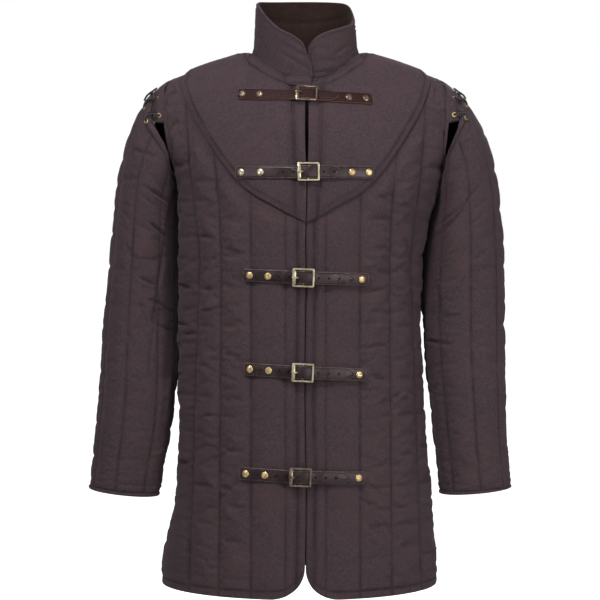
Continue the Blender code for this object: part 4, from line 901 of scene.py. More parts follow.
def lay_swatch(width, height, lines, extra, seed):
    """A flat swatch of outer cloth, held along its stitch lines, with a little more cloth than room."""
    across = np.linspace(0, width, round(width / SWATCH_STEP) + 1)
    up = np.linspace(0, height, round(height / SWATCH_STEP) + 1)
    sewn = [int(np.abs(across - line).argmin()) for line in lines]
    across[sewn] = lines
    rows, columns = len(up), len(across)
    bumps = np.random.default_rng(seed).normal(size=(rows // 6 + 2, columns // 3 + 2))
    for count in (columns, rows):
        old, new = np.linspace(0, 1, bumps.shape[1]), np.linspace(0, 1, count)
        bumps = np.array([np.interp(new, old, row) for row in bumps]).T
    away = np.clip(from_lines(lines, across) / 0.010, 0, 1)
    points = np.zeros((rows, columns, 3))
    points[..., 0], points[..., 1] = across, up[:, None]
    points[..., 2] = (0.0015 + 0.0006 * bumps) * away
    mesh = bpy.data.meshes.new("swatch")
    mesh.from_pydata(points.reshape(-1, 3).tolist(), [], grid_faces(rows, columns, 0, False))
    swatch = add_object("swatch", mesh)
    column, row = np.arange(rows * columns) % columns, np.arange(rows * columns) // columns
    fixed = np.isin(column, sewn) | (row == 0) | (row == rows - 1)
    swatch.vertex_groups.new(name="sewn").add(np.flatnonzero(fixed).tolist(), 1.0, "REPLACE")
    cloth = swatch.modifiers.new("cloth", "CLOTH")
    cloth.settings.vertex_group_mass = "sewn"
    cloth.settings.quality = 4
    cloth.settings.bending_stiffness = 0.3
    cloth.settings.shrink_min = -extra
    cloth.settings.use_pressure = True
    cloth.settings.uniform_pressure_force = 7.0
    cloth.settings.effector_weights.gravity = 0.0
    cloth.collision_settings.use_collision = False
    cloth.point_cache.frame_start, cloth.point_cache.frame_end = 1, SWATCH_FRAMES
    return swatch, across, up


def smoothed(heights):
    """The heights averaged along each channel."""
    reach = 9
    padded = np.pad(heights, ((reach, reach), (0, 0)), mode="edge")
    return np.mean([padded[step:step + len(heights)] for step in range(2 * reach + 1)], axis=0)


def puff_swatches():
    """Puffs up the flat swatches by cloth simulation, and gives the grid of heights of each."""
    laid = {name: lay_swatch(*cut) for name, cut in swatches().items()}
    for frame in range(1, SWATCH_FRAMES + 1):
        bpy.context.scene.frame_set(frame)
    seen = bpy.context.evaluated_depsgraph_get()
    quilted = {}
    for name, (swatch, across, up) in laid.items():
        bare = swatch.evaluated_get(seen).data
        places = np.empty(len(bare.vertices) * 3, np.float32)
        bare.vertices.foreach_get("co", places)
        heights = places.reshape(len(up), len(across), 3)[..., 2].astype(float)
        deeper = np.interp(across, *FRONT_DIMPLES) if name[0] == FRONT else DIMPLES[name[0]]
        quilted[name] = (across, up, np.clip(heights + deeper * (heights - smoothed(heights)), -0.0010, 0.0060))
    for cut in laid.values():
        bpy.data.objects.remove(cut[0])
    bpy.context.scene.frame_set(1)
    return quilted


def cubic(count, place):
    """The four steps round a place on an axis of so many steps, and the share of each on a smooth curve."""
    start = np.clip(np.floor(place).astype(int), 0, count - 2)
    x = place - start
    picks = [np.clip(start + step, 0, count - 1) for step in (-1, 0, 1, 2)]
    return picks, (x * (-0.5 + x * (1 - 0.5 * x)), 1 + x * x * (-2.5 + 1.5 * x), x * (0.5 + x * (2 - 1.5 * x)),
                   x * x * (-0.5 + 0.5 * x))


def quilt_height(swatch, across, up):
    """The swatch's height at places of the flat cut."""
    columns, rows, heights = swatch
    column_picks, column_shares = cubic(len(columns), np.interp(across, columns, np.arange(len(columns))))
    row_picks, row_shares = cubic(len(rows), np.interp(up, rows, np.arange(len(rows))))
    total = 0.0
    for row_pick, row_share in zip(row_picks, row_shares):
        for column_pick, column_share in zip(column_picks, column_shares):
            total = total + heights[row_pick, column_pick] * row_share * column_share
    return total


# ---- Body panels ----


def front_gap(height):
    """The opening between the fronts: closed but for a slit above the second strap."""
    slit = 0.0044 * smoothstep((height + 0.215) / 0.07) * (1 - smoothstep((height + 0.088) / 0.02))
    return FRONT_GAP + slit


def opening_drift(height):
    """How far the opening wanders to the wearer's left."""
    wave = 0.0010 * np.sin((height + 0.45) * 17) * smoothstep((-0.28 - height) / 0.1)
    return 0.0022 * smoothstep((height + 0.33) / 0.10) + wave


def part_fronts(side, grids):
    """Draws a front's centre edge back from the other front."""
    run = np.abs(grids[2]["across"])
    for points in grids[:2]:
        pull = front_gap(points[..., 2]) / 2 * (1 - smoothstep(run / 0.012))
        drift = opening_drift(points[..., 2]) * (1 - smoothstep((run - 0.012) / 0.030))
        points[..., 0] += side * pull + drift
    return grids


def strap_height(strap, out):
    return strap["height"] - strap["fall"] * (out - strap["buckle"])


def pressed_by_straps(points, rise):
    """The straps hold the padding down where they cross it."""
    out, height = points[..., 0], points[..., 2]
    for strap in STRAPS:
        across = smoothstep((out - strap["end"] + 0.006) / 0.006) * smoothstep((strap["chape"] + 0.006 - out) / 0.006)
        upright = smoothstep((0.0185 - np.abs(height - strap_height(strap, out))) / 0.007)
        rise = rise - across * upright * np.maximum(rise - (strap["lift"] - 0.0007), 0.0)
    return rise


def body_shares(lines):
    """Columns of a body panel, with fine ones where its cut edges roll down."""
    roll = ROLL_STOPS / HALF_GIRTH
    return fan([*roll, *lines[1:-1], *(1 - roll[::-1])], 0.0028 / HALF_GIRTH)


def body_levels():
    """Rows from the hem to the top, as nominal levels."""
    low = fan([*ROLL_STOPS, HEM_BAND, 0.030], 0.0024)
    low = np.concatenate((low, fan([0.030, BODY_RISE], 0.0030, 0.0)[1:])) / BODY_RISE
    high = fan([1.0, NECK_BAND_LEVEL], 0.0145, 0.0)[1:]
    top = fan([NECK_BAND_LEVEL, *(2 - ROLL_STOPS[::-1] / TOP_RUN)], 0.0090)[1:]
    return np.concatenate((low, high, top))


def row_puff(level):
    """How full the padding is along a channel: a rolled hem band, full cloth, then the neck band."""
    height = level * BODY_RISE
    neck = 1 - smoothstep((level - NECK_BAND_LEVEL) / (2 - NECK_BAND_LEVEL))
    return np.where(height < HEM_BAND, 0.45 * arch(height / HEM_BAND, PILLOW), filling(height - HEM_BAND, 0.030)) * neck


def panel(side, face, lines, fullness, corner_side, seed, quilted):
    """Outer and inner points and marks of half a body panel, rows from the hem up, columns from the centre out."""
    share, level_0 = np.meshgrid(body_shares(lines), body_levels())
    lift = hem_height(corner_side, along_lines(side, face, share, 0.0)) - HEM_HEIGHT
    level = np.where(level_0 <= 1, (lift + level_0 * (BODY_RISE - lift)) / BODY_RISE, level_0)
    height = HEM_HEIGHT + BODY_RISE * level
    vent = np.clip((VENT_TOP - height) / (VENT_TOP - HEM_HEIGHT), 0, 1)
    seam = (SEAM_GAP / 2 + VENT_OPENING / 2 * vent) / HALF_GIRTH
    laid = along_lines(side, face, share, level)
    place = laid - np.where(level <= 1, seam * smoothstep((laid - 0.93) / 0.07), 0.0)
    on_shoulder = laid > NECK_SHARE - 1e-6
    level = np.where(on_shoulder, np.minimum(level, 2 - SEAM_GAP / 2 / TOP_RUN), level)
    point, normal = body_point(side, face, place, level), body_normal(side, face, place, level)
    run, across, to_side = share * HALF_GIRTH, laid * HALF_GIRTH, (1 - laid) * HALF_GIRTH
    up = np.where(level_0 <= 1, height - HEM_HEIGHT, BODY_RISE + (level_0 - 1) * FLAT_TOP_RUN)
    grain = soft_folds(seed, 150, HALF_GIRTH, 0.90, across, up)
    puff = pillow(lines, fullness, share)
    if quilted:
        grain = grain * 0.25
        puff = quilt_height(quilted[face, side], run, up) / FULL_SWATCH
    rise = body_rise(side, face, place, level, puff * row_puff(level_0), point, grain)
    to_upright = from_lines(lines[1:-1], share) * HALF_GIRTH
    if face == FRONT:
        faint = np.abs(run - SECOND_LINE)
        to_upright = np.where(faint < 0.008, faint + 0.0008, to_upright)
        # Painted shade: the line beside the edge strip is widened, for the shadow of the strip's roll.
        to_upright = np.minimum(to_upright, np.abs(run - EDGE_STRIP) * 0.55)
    to_upright = np.where(level_0 > NECK_BAND_LEVEL, 1.0, to_upright)
    to_hem = np.abs(level_0 * BODY_RISE - HEM_BAND)
    to_neck = np.where(laid < NECK_SHARE + 0.02, np.abs(level_0 - NECK_BAND_LEVEL) * 0.216, 1.0)
    ripple = puckers(seed + 1, to_upright, up) + puckers(seed + 2, to_hem, across, 0.004)
    rise = rise + PUCKER * ripple * smoothstep(rise / 0.0015) * (0.5 if quilted else 1.0)
    if face == FRONT:
        rise = rise + 0.0008 * arch(across / EDGE_STRIP) * smoothstep(rise / 0.001)
        rise = rise - 0.0007 * bell(across - EDGE_STRIP, 0.0016) * smoothstep((point[..., 2] - HEM_HEIGHT) / 0.03)
        rise = pressed_by_straps(point, rise)
    edge = to_side if corner_side is None else np.minimum(across, to_side)
    edge = np.minimum(edge, np.minimum(level_0 * BODY_RISE, (2 - level_0) * TOP_RUN))
    to_armhole = np.where(level_0 > 1.03, np.abs(to_side - 0.0080), 1.0)
    rise = rise - 0.0007 * bell(to_armhole, 0.0016) * smoothstep(rise / 0.0016)
    outer = point + normal * lead(rise - rounded_off(edge) * 1.3)
    to_upright = np.minimum(to_upright, to_armhole)
    to_band = np.minimum(to_hem, to_neck)
    # The "stitch" mark places painted shade along the stitch lines.
    marks = {"across": side * across, "up": up, "stitch": np.minimum(to_upright, to_band),
             "run": np.where(to_upright <= to_band, up, across), "edge": np.clip(edge, 0, EDGE_REACH)}
    return outer, point - normal * BODY_WALL, marks


def mirror_halves(right, left):
    """One grid from its two halves, which share their centre column."""
    def one(first, second):
        return np.concatenate((first[:, ::-1], second[:, 1:]), axis=1)

    return one(right[0], left[0]), one(right[1], left[1]), {key: one(right[2][key], left[2][key]) for key in right[2]}


def make_body(canvas, lining, quilted):
    """Two fronts and the back, which is made of two halves with no seam between them."""
    for side in (RIGHT, LEFT):
        grids = panel(side, FRONT, FRONT_LINES, FRONT_FULLNESS, side, 20 + side, quilted)
        piece = sew("front_" + SIDE_NAMES[side], part_fronts(side, grids), (canvas, lining))
    halves = [panel(side, BACK, BACK_LINES, BACK_FULLNESS, None, 40 + side, quilted) for side in (RIGHT, LEFT)]
    piece = sew("back", mirror_halves(*halves), (canvas, lining))


# ---- Mantle ----


def mantle_foot(side, face, shares):
    """The levels where columns of the body's surface cross the mantle's lower edge."""
    low, high = np.full(shares.shape, 0.6), np.full(shares.shape, 2.0)
    for _ in range(26):
        level = (low + high) / 2
        point = body_point(side, face, shares, level)
        under = point[:, 2] < mantle_edge_height(face, np.abs(point[:, 0]))
        low, high = np.where(under, level, low), np.where(under, high, level)
    return np.minimum((low + high) / 2, 1.93)


def away_from(points, line):
    """How far a grid's points are from the nearest point of a line."""
    return np.sqrt(((points[:, :, None] - line) ** 2).sum(axis=-1)).min(axis=-1)


def mantle_half(side, face):
    """Upper and under points and marks of half the mantle, rows from its edge up."""
    in_front = face == FRONT
    roll = ROLL_STOPS / HALF_GIRTH
    start = [*roll, EDGE_STRIP / HALF_GIRTH] if in_front else [0.0]
    shares = fan([*start, 0.25, 0.5, *(MANTLE_END_SHARE - roll[::-1])], 0.0034 / HALF_GIRTH, 0.1)
    foot = mantle_foot(side, face, shares)
    margin = MANTLE_NECK_MARGIN * (1 - smoothstep((shares - 0.22) / 0.11))
    head = 2 - np.maximum(margin, SEAM_GAP / 2 / TOP_RUN)
    middle = fan([0.0018 / 0.20, 1.0 - 0.0018 / 0.20], 0.016, 0.3)[1:]
    share, part = np.meshgrid(shares, np.concatenate((ROLL_STOPS / 0.20, middle, 1 - ROLL_STOPS[:-1][::-1] / 0.20)))
    level = foot + (head - foot) * part
    point, normal = body_point(side, face, share, level), body_normal(side, face, share, level)
    to_fold = away_from(point, np.concatenate((point[0], point[:, -1])))
    to_neck = away_from(point, point[-1, shares < 0.34])
    across, up = share * HALF_GIRTH, np.where(level <= 1, level * BODY_RISE, BODY_RISE + (level - 1) * FLAT_TOP_RUN)
    lines, fullness = (FRONT_LINES, FRONT_FULLNESS) if in_front else (BACK_LINES, BACK_FULLNESS)
    puff = pillow(lines, fullness, along_lines(side, face, share, level, back=True))
    under_cloth = body_rise(side, face, share, level, puff, point, 0.0)
    settle = smoothstep(np.minimum(to_fold, to_neck) / 0.012)
    low = np.maximum(under_cloth + 0.0004, MANTLE_LIFT * settle)
    low = np.where(settle >= 1.0, MANTLE_LIFT, np.minimum(low, MANTLE_LIFT + 0.0006))
    ripple = puckers(60 + side + 4 * face, np.abs(to_fold - MANTLE_FOLD), up + across, 0.005)
    drift = soft_folds(70 + side + 4 * face, 26, HALF_GIRTH, 0.30, across, up - 0.60, 60.0)
    top = low + MANTLE_THICKNESS - 0.00045 * drift * settle + 0.00030 * ripple
    # The "stitch" mark: painted shade along the stitch lines, and along the neck edge for the shade under the collar.
    stitched = np.minimum(np.abs(to_fold - MANTLE_FOLD), np.minimum(np.abs(to_neck - NECK_BAND) * 0.8, to_neck * 0.5))
    neck_roll = 0.0013 * arch(to_neck / NECK_BAND, 0.6)
    band_roll = np.maximum(0.0013 * arch(to_fold / MANTLE_FOLD, 0.7), neck_roll * smoothstep((share - 0.06) / 0.03))
    edge = np.minimum(np.minimum(to_fold, to_neck), (2 - level) * TOP_RUN)
    if in_front:
        band_roll = np.maximum(band_roll, 0.0018 * arch(across / EDGE_STRIP, 0.7))
        # Painted shade beside the edge strip, for the shadow of its roll.
        stitched = np.minimum(stitched, np.abs(across - EDGE_STRIP) * 0.6)
        edge = np.minimum(edge, across)
    top = top + band_roll - 0.00080 * bell(stitched, 0.0012)
    if in_front:
        top = pressed_by_straps(point, top)
    top = top - rounded_off(edge, 0.0014)
    run = np.where(np.abs(across - EDGE_STRIP) < 0.003, up, (up + across) * 0.72)
    marks = {"across": side * across, "up": up, "stitch": stitched, "run": run, "edge": np.clip(edge, 0, EDGE_REACH)}
    return point + normal * lead(top), point + normal * lead(np.minimum(low, top - 0.0004)), marks


def make_mantle(canvas, lining):
    """The smooth mantle that lies over the body: two halves in front, one piece behind."""
    for side in (RIGHT, LEFT):
        piece = sew("mantle_" + SIDE_NAMES[side], part_fronts(side, mantle_half(side, FRONT)), (canvas, lining))
    piece = sew("mantle_back", mirror_halves(mantle_half(RIGHT, BACK), mantle_half(LEFT, BACK)), (canvas, lining))


# ---- Collar ----


def collar_point(run, rise, offset):
    """The collar's surfaces: run 0 to 1 from the lapping end round the back, rise 0 to 1 upwards."""
    start, end = COLLAR_ENDS
    end_slant = COLLAR_SLANT * np.asarray(rise, float) ** 2.4
    degrees = start + end_slant + (end - start - end_slant) * run
    angle = np.radians(degrees)
    in_front = np.cos(angle) > 0
    neck_height = np.where(in_front, NECK_HEIGHT[FRONT], NECK_HEIGHT[BACK])
    neck_depth = np.where(in_front, NECK_DEPTH[FRONT], NECK_DEPTH[BACK])
    lap = COLLAR_LAP * (1 - smoothstep(run / 0.14) - 0.1 * smoothstep((run - 0.86) / 0.14))
    grow = offset + lap - COLLAR_TAPER * rise
    base = neck_height + (SHOULDER_NECK_HEIGHT - neck_height) * np.abs(np.sin(angle)) ** 2.2 + COLLAR_SEAT
    return joined(
        -np.sin(angle) * (NECK_HALF_WIDTH - COLLAR_INSET + grow),
        -np.cos(angle) * (neck_depth - COLLAR_INSET + grow) - COLLAR_LEAN * rise,
        base + (along(COLLAR_TOP, 1, degrees) - base) * rise,
    )


def make_collar(canvas, lining):
    """The stand collar, whose lapping end is turned in over its other end."""
    tall_stops = [0.0, 0.0006 / COLLAR_RISE, 0.0018 / COLLAR_RISE, 0.10, 1 - 0.0018 / COLLAR_RISE,
                  1 - 0.0008 / COLLAR_RISE, 1.0]
    long_stops = [0.0, 0.0008 / COLLAR_RUN, 0.0018 / COLLAR_RUN, 1 - 0.0018 / COLLAR_RUN, 1 - 0.0008 / COLLAR_RUN, 1.0]
    run, rise = np.meshgrid(fan(long_stops, 0.0036 / COLLAR_RUN, 0.0), fan(tall_stops, 0.0030 / COLLAR_RISE, 0.2))
    across, up = run * COLLAR_RUN, rise * COLLAR_RISE
    tall = collar_point(run, 1.0, 0.0)[..., 2] - collar_point(run, 0.0, 0.0)[..., 2]
    to_top, to_base = (1 - rise) * tall, rise * tall
    to_end = np.minimum(run, 1 - run) * COLLAR_RUN
    to_edge = np.minimum(to_top, to_end)
    folds = soft_folds(91, 46, COLLAR_RUN, COLLAR_RISE, across, up, 30.0)
    inside_folds = soft_folds(92, 40, COLLAR_RUN, COLLAR_RISE, across, up, 30.0)
    swell = 0.0010 * arch(np.minimum((to_edge - COLLAR_HEM) / 0.022 + 0.1, 0.5), 0.6)
    band = 0.0005 * arch(to_edge / COLLAR_HEM, 0.7)
    seat = 0.0022 * (1 - smoothstep(to_base / 0.009))
    round_top = rounded_off(to_edge, 0.0018) * 1.15
    outside = COLLAR_WALL / 2 + swell + band - 0.0003 * bell(to_edge - COLLAR_HEM, 0.0013) - 0.0016 * folds + seat
    # Behind the neck the inside has an upright crease and a hanging fold.
    nape_crease = bell(across - COLLAR_RUN * 0.49, 0.004) * smoothstep(rise / 0.4)
    from_nape = across / COLLAR_RUN - 0.49
    drape = bell(rise - 0.80 + 0.26 * np.cos(np.pi * np.clip(from_nape / 0.22, -1, 1) / 2), 0.055)
    drape = drape * smoothstep((0.22 - np.abs(from_nape)) / 0.05)
    inside = COLLAR_WALL / 2 + 0.3 * swell - 0.0007 * inside_folds - 0.0020 * nape_crease - 0.0016 * drape
    outer = collar_point(run, rise, outside - round_top)
    inner = collar_point(run, rise, -(inside - round_top))
    foot = 1 - smoothstep(to_base / 0.012)
    nape = smoothstep((0.30 - np.abs(run - 0.5)) / 0.12)
    outer[..., 2] -= 0.0016 * foot + 0.0030 * nape * foot
    inner[..., 2] -= 0.0036 * nape * foot
    # The "stitch" mark: painted shade along the hem's stitch line, and a wider band of it along the foot.
    stitch = np.minimum(np.abs(to_edge - COLLAR_HEM) + 0.0010, np.abs(to_base - 0.0015) * 0.5)
    # The lapping end's shadow is painted as a dark line on the end beneath it, on both sides of its edge.
    slant = COLLAR_SLANT * rise**2.4
    angle = COLLAR_ENDS[0] + slant + (COLLAR_ENDS[1] - COLLAR_ENDS[0] - slant) * run
    to_lap = np.abs(angle - 360 - COLLAR_ENDS[0] - slant) * math.pi / 180 * NECK_HALF_WIDTH
    stitch = np.where(run > 0.9, np.minimum(stitch, to_lap * 0.45), stitch)
    marks = {"across": across, "up": up, "stitch": stitch, "run": np.where(to_top < to_end, across, up),
             "edge": np.clip(np.minimum(to_edge, to_base), 0, EDGE_REACH)}
    piece = sew("collar", (outer, inner, marks), (canvas, lining), step=1)


def make_tab(canvas, lining):
    """The short tab under the collar's lapping end, which crosses the opening."""
    start, end, middle, half = TAB
    length = end - start
    outs = fan([0.0, 0.0012 / length, 1 - 0.0012 / length, 1.0], 0.0022 / length, 0.0)
    out, up = np.meshgrid(outs, fan([0.0, 0.08, 0.92, 1.0], 0.09, 0.0))
    to_end = np.minimum(out, 1 - out) * length
    narrow = half * np.minimum(1.0, 0.45 + np.sqrt(np.clip(to_end / 0.0045, 0, 1)) * 0.55)
    x = start + length * out
    z = middle - 0.0016 * (out - 0.5) + (2 * up - 1) * narrow
    point, normal = (values.reshape(x.shape + (3,)) for values in on_front(x.ravel(), z.ravel())[:2])
    edge = np.minimum(to_end, np.minimum(up, 1 - up) * 2 * narrow)
    stitch = np.abs(edge - 0.0026)
    top = 0.0092 + 0.0006 * smoothstep(edge / 0.004) - 0.0004 * bell(stitch, 0.0007) - rounded_off(edge, 0.0012)
    marks = {"across": x - start, "up": z - middle + half, "stitch": stitch + 0.0006, "run": x - start + z,
             "edge": edge}
    grids = point + normal * lead(top), point + normal * 0.0072, marks
    piece = wall("collar_tab_cloth", *grids, (canvas, lining), step=1)
    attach(piece, "root")


# ---- Sleeves ----


def sleeve_point(side, angle, share):
    """A sleeve's stitch-line surface: angle 0 is the outside, 90 the front, 180 the inside."""
    angle, share = paired(angle, share)
    outer_out, outer_up, inner_out, inner_up, half_depth, back, bow = (
        along(SLEEVE_SECTIONS[side], column, share) for column in range(1, 8)
    )
    outer, inner = joined(outer_out, 0.0, outer_up), joined(inner_out, 0.0, inner_up)
    bow = bow - np.where(angle % 360 > 180, BACK_HEAD_REACH * (1 - smoothstep(share / BACK_HEAD_FADE)), 0.0)
    arm = (outer - inner) / 2
    arm = arm * (1 - SLEEVE_PUFF / np.linalg.norm(arm, axis=-1, keepdims=True))
    up_out = unit(joined(-arm[..., 2], 0.0, arm[..., 0]))
    up_out = np.where(up_out[..., :1] < 0, -up_out, up_out)
    turn = np.radians(angle)
    point = (outer + inner) / 2 + arm * lead(np.cos(turn)) + up_out * lead(bow * np.sin(turn) ** 2)
    point[..., 1] = back - (half_depth - SLEEVE_PUFF) * np.sin(turn)
    point[..., 0] *= side
    return point


def sleeve_normal(side, angle, share):
    """The way out from a sleeve's surface."""
    angle, share = paired(angle, share)
    across = sleeve_point(side, angle + 1, share) - sleeve_point(side, angle - 1, share)
    down = sleeve_point(side, angle, np.minimum(share + 0.004, 1.0))
    down = down - sleeve_point(side, angle, np.maximum(share - 0.004, 0.0))
    normal = unit(np.cross(across, down))
    middle = (sleeve_point(side, 0, share) + sleeve_point(side, 180, share)) / 2
    away = (normal * (sleeve_point(side, angle, share) - middle)).sum(axis=-1, keepdims=True)
    return np.where(away < 0, -normal, normal)


def sleeve_rise(side, angle, share, puff):
    """How far a sleeve's padded outside stands off its stitch-line surface."""
    uneven = 1 + 0.16 * np.sin(37 * share + angle * 0.09) + 0.10 * np.sin(83 * share + angle * 0.05)
    swell = SLEEVE_PUFF * puff * uneven / 1.26
    dent = big_creases(
        SLEEVE_CREASES, side, FRONT,
        lambda middle, down: (np.radians(angle - middle) * ARM_RADIUS, (down - share) * SLEEVE_LENGTH), swell,
    )
    near_body = smoothstep((angle - 150) / 25) * (1 - smoothstep((angle - 205) / 20))
    return swell - dent * (1 - near_body)


def sleeve_rows():
    """Rows of a sleeve, as runs from its head: fine ones by the head's edge and by the cuff's."""
    head = fan([*ROLL_STOPS, HEAD_BAND, 0.030], 0.0022)
    arm = fan([0.030, SLEEVE_LENGTH - 0.030], 0.0031, 0.0)[1:]
    cuff = fan([SLEEVE_LENGTH - 0.030, SLEEVE_LENGTH - CUFF_BAND, *(SLEEVE_LENGTH - ROLL_STOPS[::-1])], 0.0022)[1:]
    return np.concatenate((head, arm, cuff))


def make_sleeves(canvas, lining, quilted):
    """Tubes of padded cloth, open at the head and the cuff."""
    for side in (RIGHT, LEFT):
        lines = SLEEVE_LINES[side]
        angle, run = np.meshgrid(fan(lines, 2.7)[:-1], sleeve_rows())
        turn = angle % 360
        share, from_cuff = run / SLEEVE_LENGTH, SLEEVE_LENGTH - run
        point, normal = sleeve_point(side, angle, share), sleeve_normal(side, angle, share)
        out, height = point[..., 0], point[..., 2]
        puff = pillow(lines, (1.0,) * (len(lines) - 1), angle)
        if quilted:
            round_arm = (angle - lines[0]) * math.pi / 180 * ARM_RADIUS
            puff = quilt_height(quilted["sleeve", side], round_arm, from_cuff) / FULL_SWATCH
        body = filling(from_cuff - CUFF_BAND, 0.026) * filling(run - HEAD_BAND, 0.022)
        rise = sleeve_rise(side, turn, share, puff * body)
        across = np.radians(angle) * ARM_RADIUS
        grain = soft_folds(110 + side, 210, SLEEVE_GIRTH, SLEEVE_LENGTH, across % SLEEVE_GIRTH, run)
        rise = rise * (1 - (0.10 if quilted else 0.42) * grain)
        near_strip = smoothstep((100 - np.abs((angle + 180) % 360 - 180)) / 30)
        rise = rise + 0.0026 * arch(from_cuff / CUFF_BAND, PILLOW)
        rise = rise + 0.0040 * arch(run / HEAD_BAND, PILLOW) * (0.35 + 0.65 * near_strip)
        to_upright = from_lines(lines, angle) * math.pi / 180 * ARM_RADIUS
        to_upright = np.where((run > HEAD_BAND) & (from_cuff > CUFF_BAND), to_upright, 1.0)
        to_band = np.minimum(np.abs(run - HEAD_BAND), np.abs(from_cuff - CUFF_BAND))
        ripple = puckers(120 + side, to_upright, run) + puckers(124 + side, to_band, across, 0.004)
        rise = rise + PUCKER * ripple * smoothstep(rise / 0.0012)
        ahead = np.sin(np.radians(angle))
        folds = laid_folds(SLEEVE_FOLDS[side], out, height + 0.026 * (ahead < 0))
        folds = folds * smoothstep((np.abs(ahead) - 0.02) / 0.30)
        folds = 1.3 * folds * smoothstep((run - 0.016) / 0.02) * smoothstep((from_cuff - 0.014) / 0.02)
        rise = np.maximum(rise - folds, np.minimum(rise, LEAST_RISE))
        # The inside rests against the body, beside a recess.
        top, foot, bulge = SLEEVE_REST[side]
        beside_body = smoothstep((top - height) / 0.045) * smoothstep((height - foot) / 0.060)
        recess = beside_body * smoothstep((30 - np.abs(turn - 160)) / 24)
        rise = np.maximum(rise - 0.0036 * recess, np.minimum(rise, LEAST_RISE))
        rise = rise + bulge * (beside_body * smoothstep((50 - np.abs(turn - 197)) / 36))
        edge = np.minimum(run, from_cuff)
        outer = point + normal * lead(rise - rounded_off(edge) * 1.2)
        inner = point - normal * SLEEVE_WALL
        lean = np.array(HEAD_LEAN[side])
        leaning = np.interp(turn, lean[:, 0], lean[:, 1]) * (1 - smoothstep(run / HEAD_LEAN_REACH[side]))
        outer[..., 0] -= side * leaning
        inner[..., 0] -= side * leaning
        # Painted shade: a dark line along each deep fold, for the shade in its trough.
        crease = 0.0008 + 0.0060 * (1 - np.clip(folds / 0.0032, 0, 1))
        stitch = np.minimum(np.minimum(to_upright, to_band), crease)
        marks = {"across": across, "up": from_cuff, "stitch": stitch,
                 "run": np.where(to_upright < to_band, run, across), "edge": np.clip(edge, 0, EDGE_REACH)}
        grids = outer, inner, marks
        piece = sew("sleeve_" + SIDE_NAMES[side], grids, (canvas, lining), tube=True, wrap=SLEEVE_GIRTH)


# ---- Shoulder strips and laces ----


def strip_edge(side, place):
    """The armhole edge over the shoulder: place -1 at the front to 1 at the back."""
    place = np.asarray(place, float)
    level = 2 - np.abs(place) * (1 - STRIP_END)
    return np.where(lead(place < 0), body_point(side, FRONT, 1.0, level), body_point(side, BACK, 1.0, level))


def strip_frame(side, place):
    """The armhole edge here, the way from it to the sleeve head, the way a strip faces, and its width."""
    place = np.asarray(place, float)
    edge = strip_edge(side, place)
    to_sleeve = sleeve_point(side, -place * HEAD_ANGLE, 0.0) - edge
    run = strip_edge(side, np.minimum(place + 0.06, 1.0)) - strip_edge(side, np.maximum(place - 0.06, -1.0))
    normal = unit(np.cross(run, to_sleeve))
    armhole_middle = np.array((side * SHOULDER_TIP[0], 0.0, ARMHOLE_MIDDLE))
    away = (normal * (edge - armhole_middle)).sum(axis=-1, keepdims=True)
    reach = np.linalg.norm(to_sleeve, axis=-1)
    return edge, to_sleeve / lead(reach), np.where(away < 0, -normal, normal), reach - STRIP_GAP


def make_strips(canvas):
    """Padded strips on the armhole edge: rings of points from the front of the shoulder to the back."""
    ring = 28
    turn = 2 * math.pi * np.arange(ring) / ring
    across, thick = (np.copysign(np.abs(wave) ** 0.62, wave) for wave in (-np.cos(turn), np.sin(turn)))
    across = 0.5 + 0.5 * across
    sewn = np.where(thick > 0, 0.16 * bell(across - STRIP_STITCHES, 0.07), 0.0)
    stitch = np.where(thick > 0, np.abs(across - STRIP_STITCHES) * 0.018, 1.0)
    places = fan([-1.0, -0.985, 0.985, 1.0], 0.0185, 0.0)
    level = 2 - np.abs(places) * (1 - STRIP_END)
    closing = np.sqrt(np.clip(1 - ((np.abs(places) - 0.97) / 0.03).clip(0, 1) ** 2 * 0.8, 0, 1))
    ridge = 1 + STRIP_RIDGE * np.cos(math.pi * STRIP_STEPS * (places + 1) / 2)
    swell = lead(STRIP_HALF_THICKNESS * ridge * closing)
    for side in (RIGHT, LEFT):
        edge, out, normal, width = (lead(values) if values.ndim == 1 else values[:, None]
                                    for values in strip_frame(side, places))
        at_seam = np.where(lead(places < 0), body_normal(side, FRONT, 1.0, level), body_normal(side, BACK, 1.0, level))
        facing = unit(at_seam[:, None] * lead(1 - across) + normal * lead(across))
        along_out = STRIP_SEAM + (width - STRIP_SEAM) * across
        grid = edge + out * lead(along_out) + facing * lead(thick * (1 - sewn) * swell - STRIP_SINK)
        run = lead(places * 0.085) + 0 * across
        marks = {"stitch": stitch + 0 * run, "run": run, "edge": (1 - across) * 0.018 + 0 * run}
        name = "shoulder_strip_" + SIDE_NAMES[side]
        piece = finish_mesh(name + "_cloth", grid.reshape(-1, 3), ring_faces(len(places), ring))
        add_flat(piece, (0.034 * np.arange(ring) / ring + 0 * run).ravel(), run.ravel(), 0.034)
        add_marks(piece, {key: values.ravel() for key, values in marks.items()})
        piece.data.materials.append(canvas)
        dress(piece, [name])


def laid_on(where, side, place, inset):
    """A point of the lace's route: in the groove at the sleeve head, on a strip or on a sleeve."""
    if where == "sleeve":
        share = inset / SLEEVE_LENGTH
        angle = -place * HEAD_ANGLE
        clear = SLEEVE_PUFF + LACE_DIAMETER / 2 + LACE_OVER_SLEEVE
        return sleeve_point(side, angle, share) + sleeve_normal(side, angle, share) * clear
    edge, out, normal, width = strip_frame(side, place)
    if where == "strip":
        clear = STRIP_HALF_THICKNESS * (1 + STRIP_RIDGE) - STRIP_SINK + LACE_DIAMETER / 2 + LACE_OVER_STRIP
        return edge + out * (width - inset) + normal * clear
    return edge + out * (width + STRIP_GAP * GROOVE_PLACE) - normal * inset


def lace_places():
    """Where the pairs of eyelets are, from the front over the shoulder to the back."""
    return [-LACE_END + 2 * LACE_END / (LACE_TURNS - 1) * turn for turn in range(LACE_TURNS)]


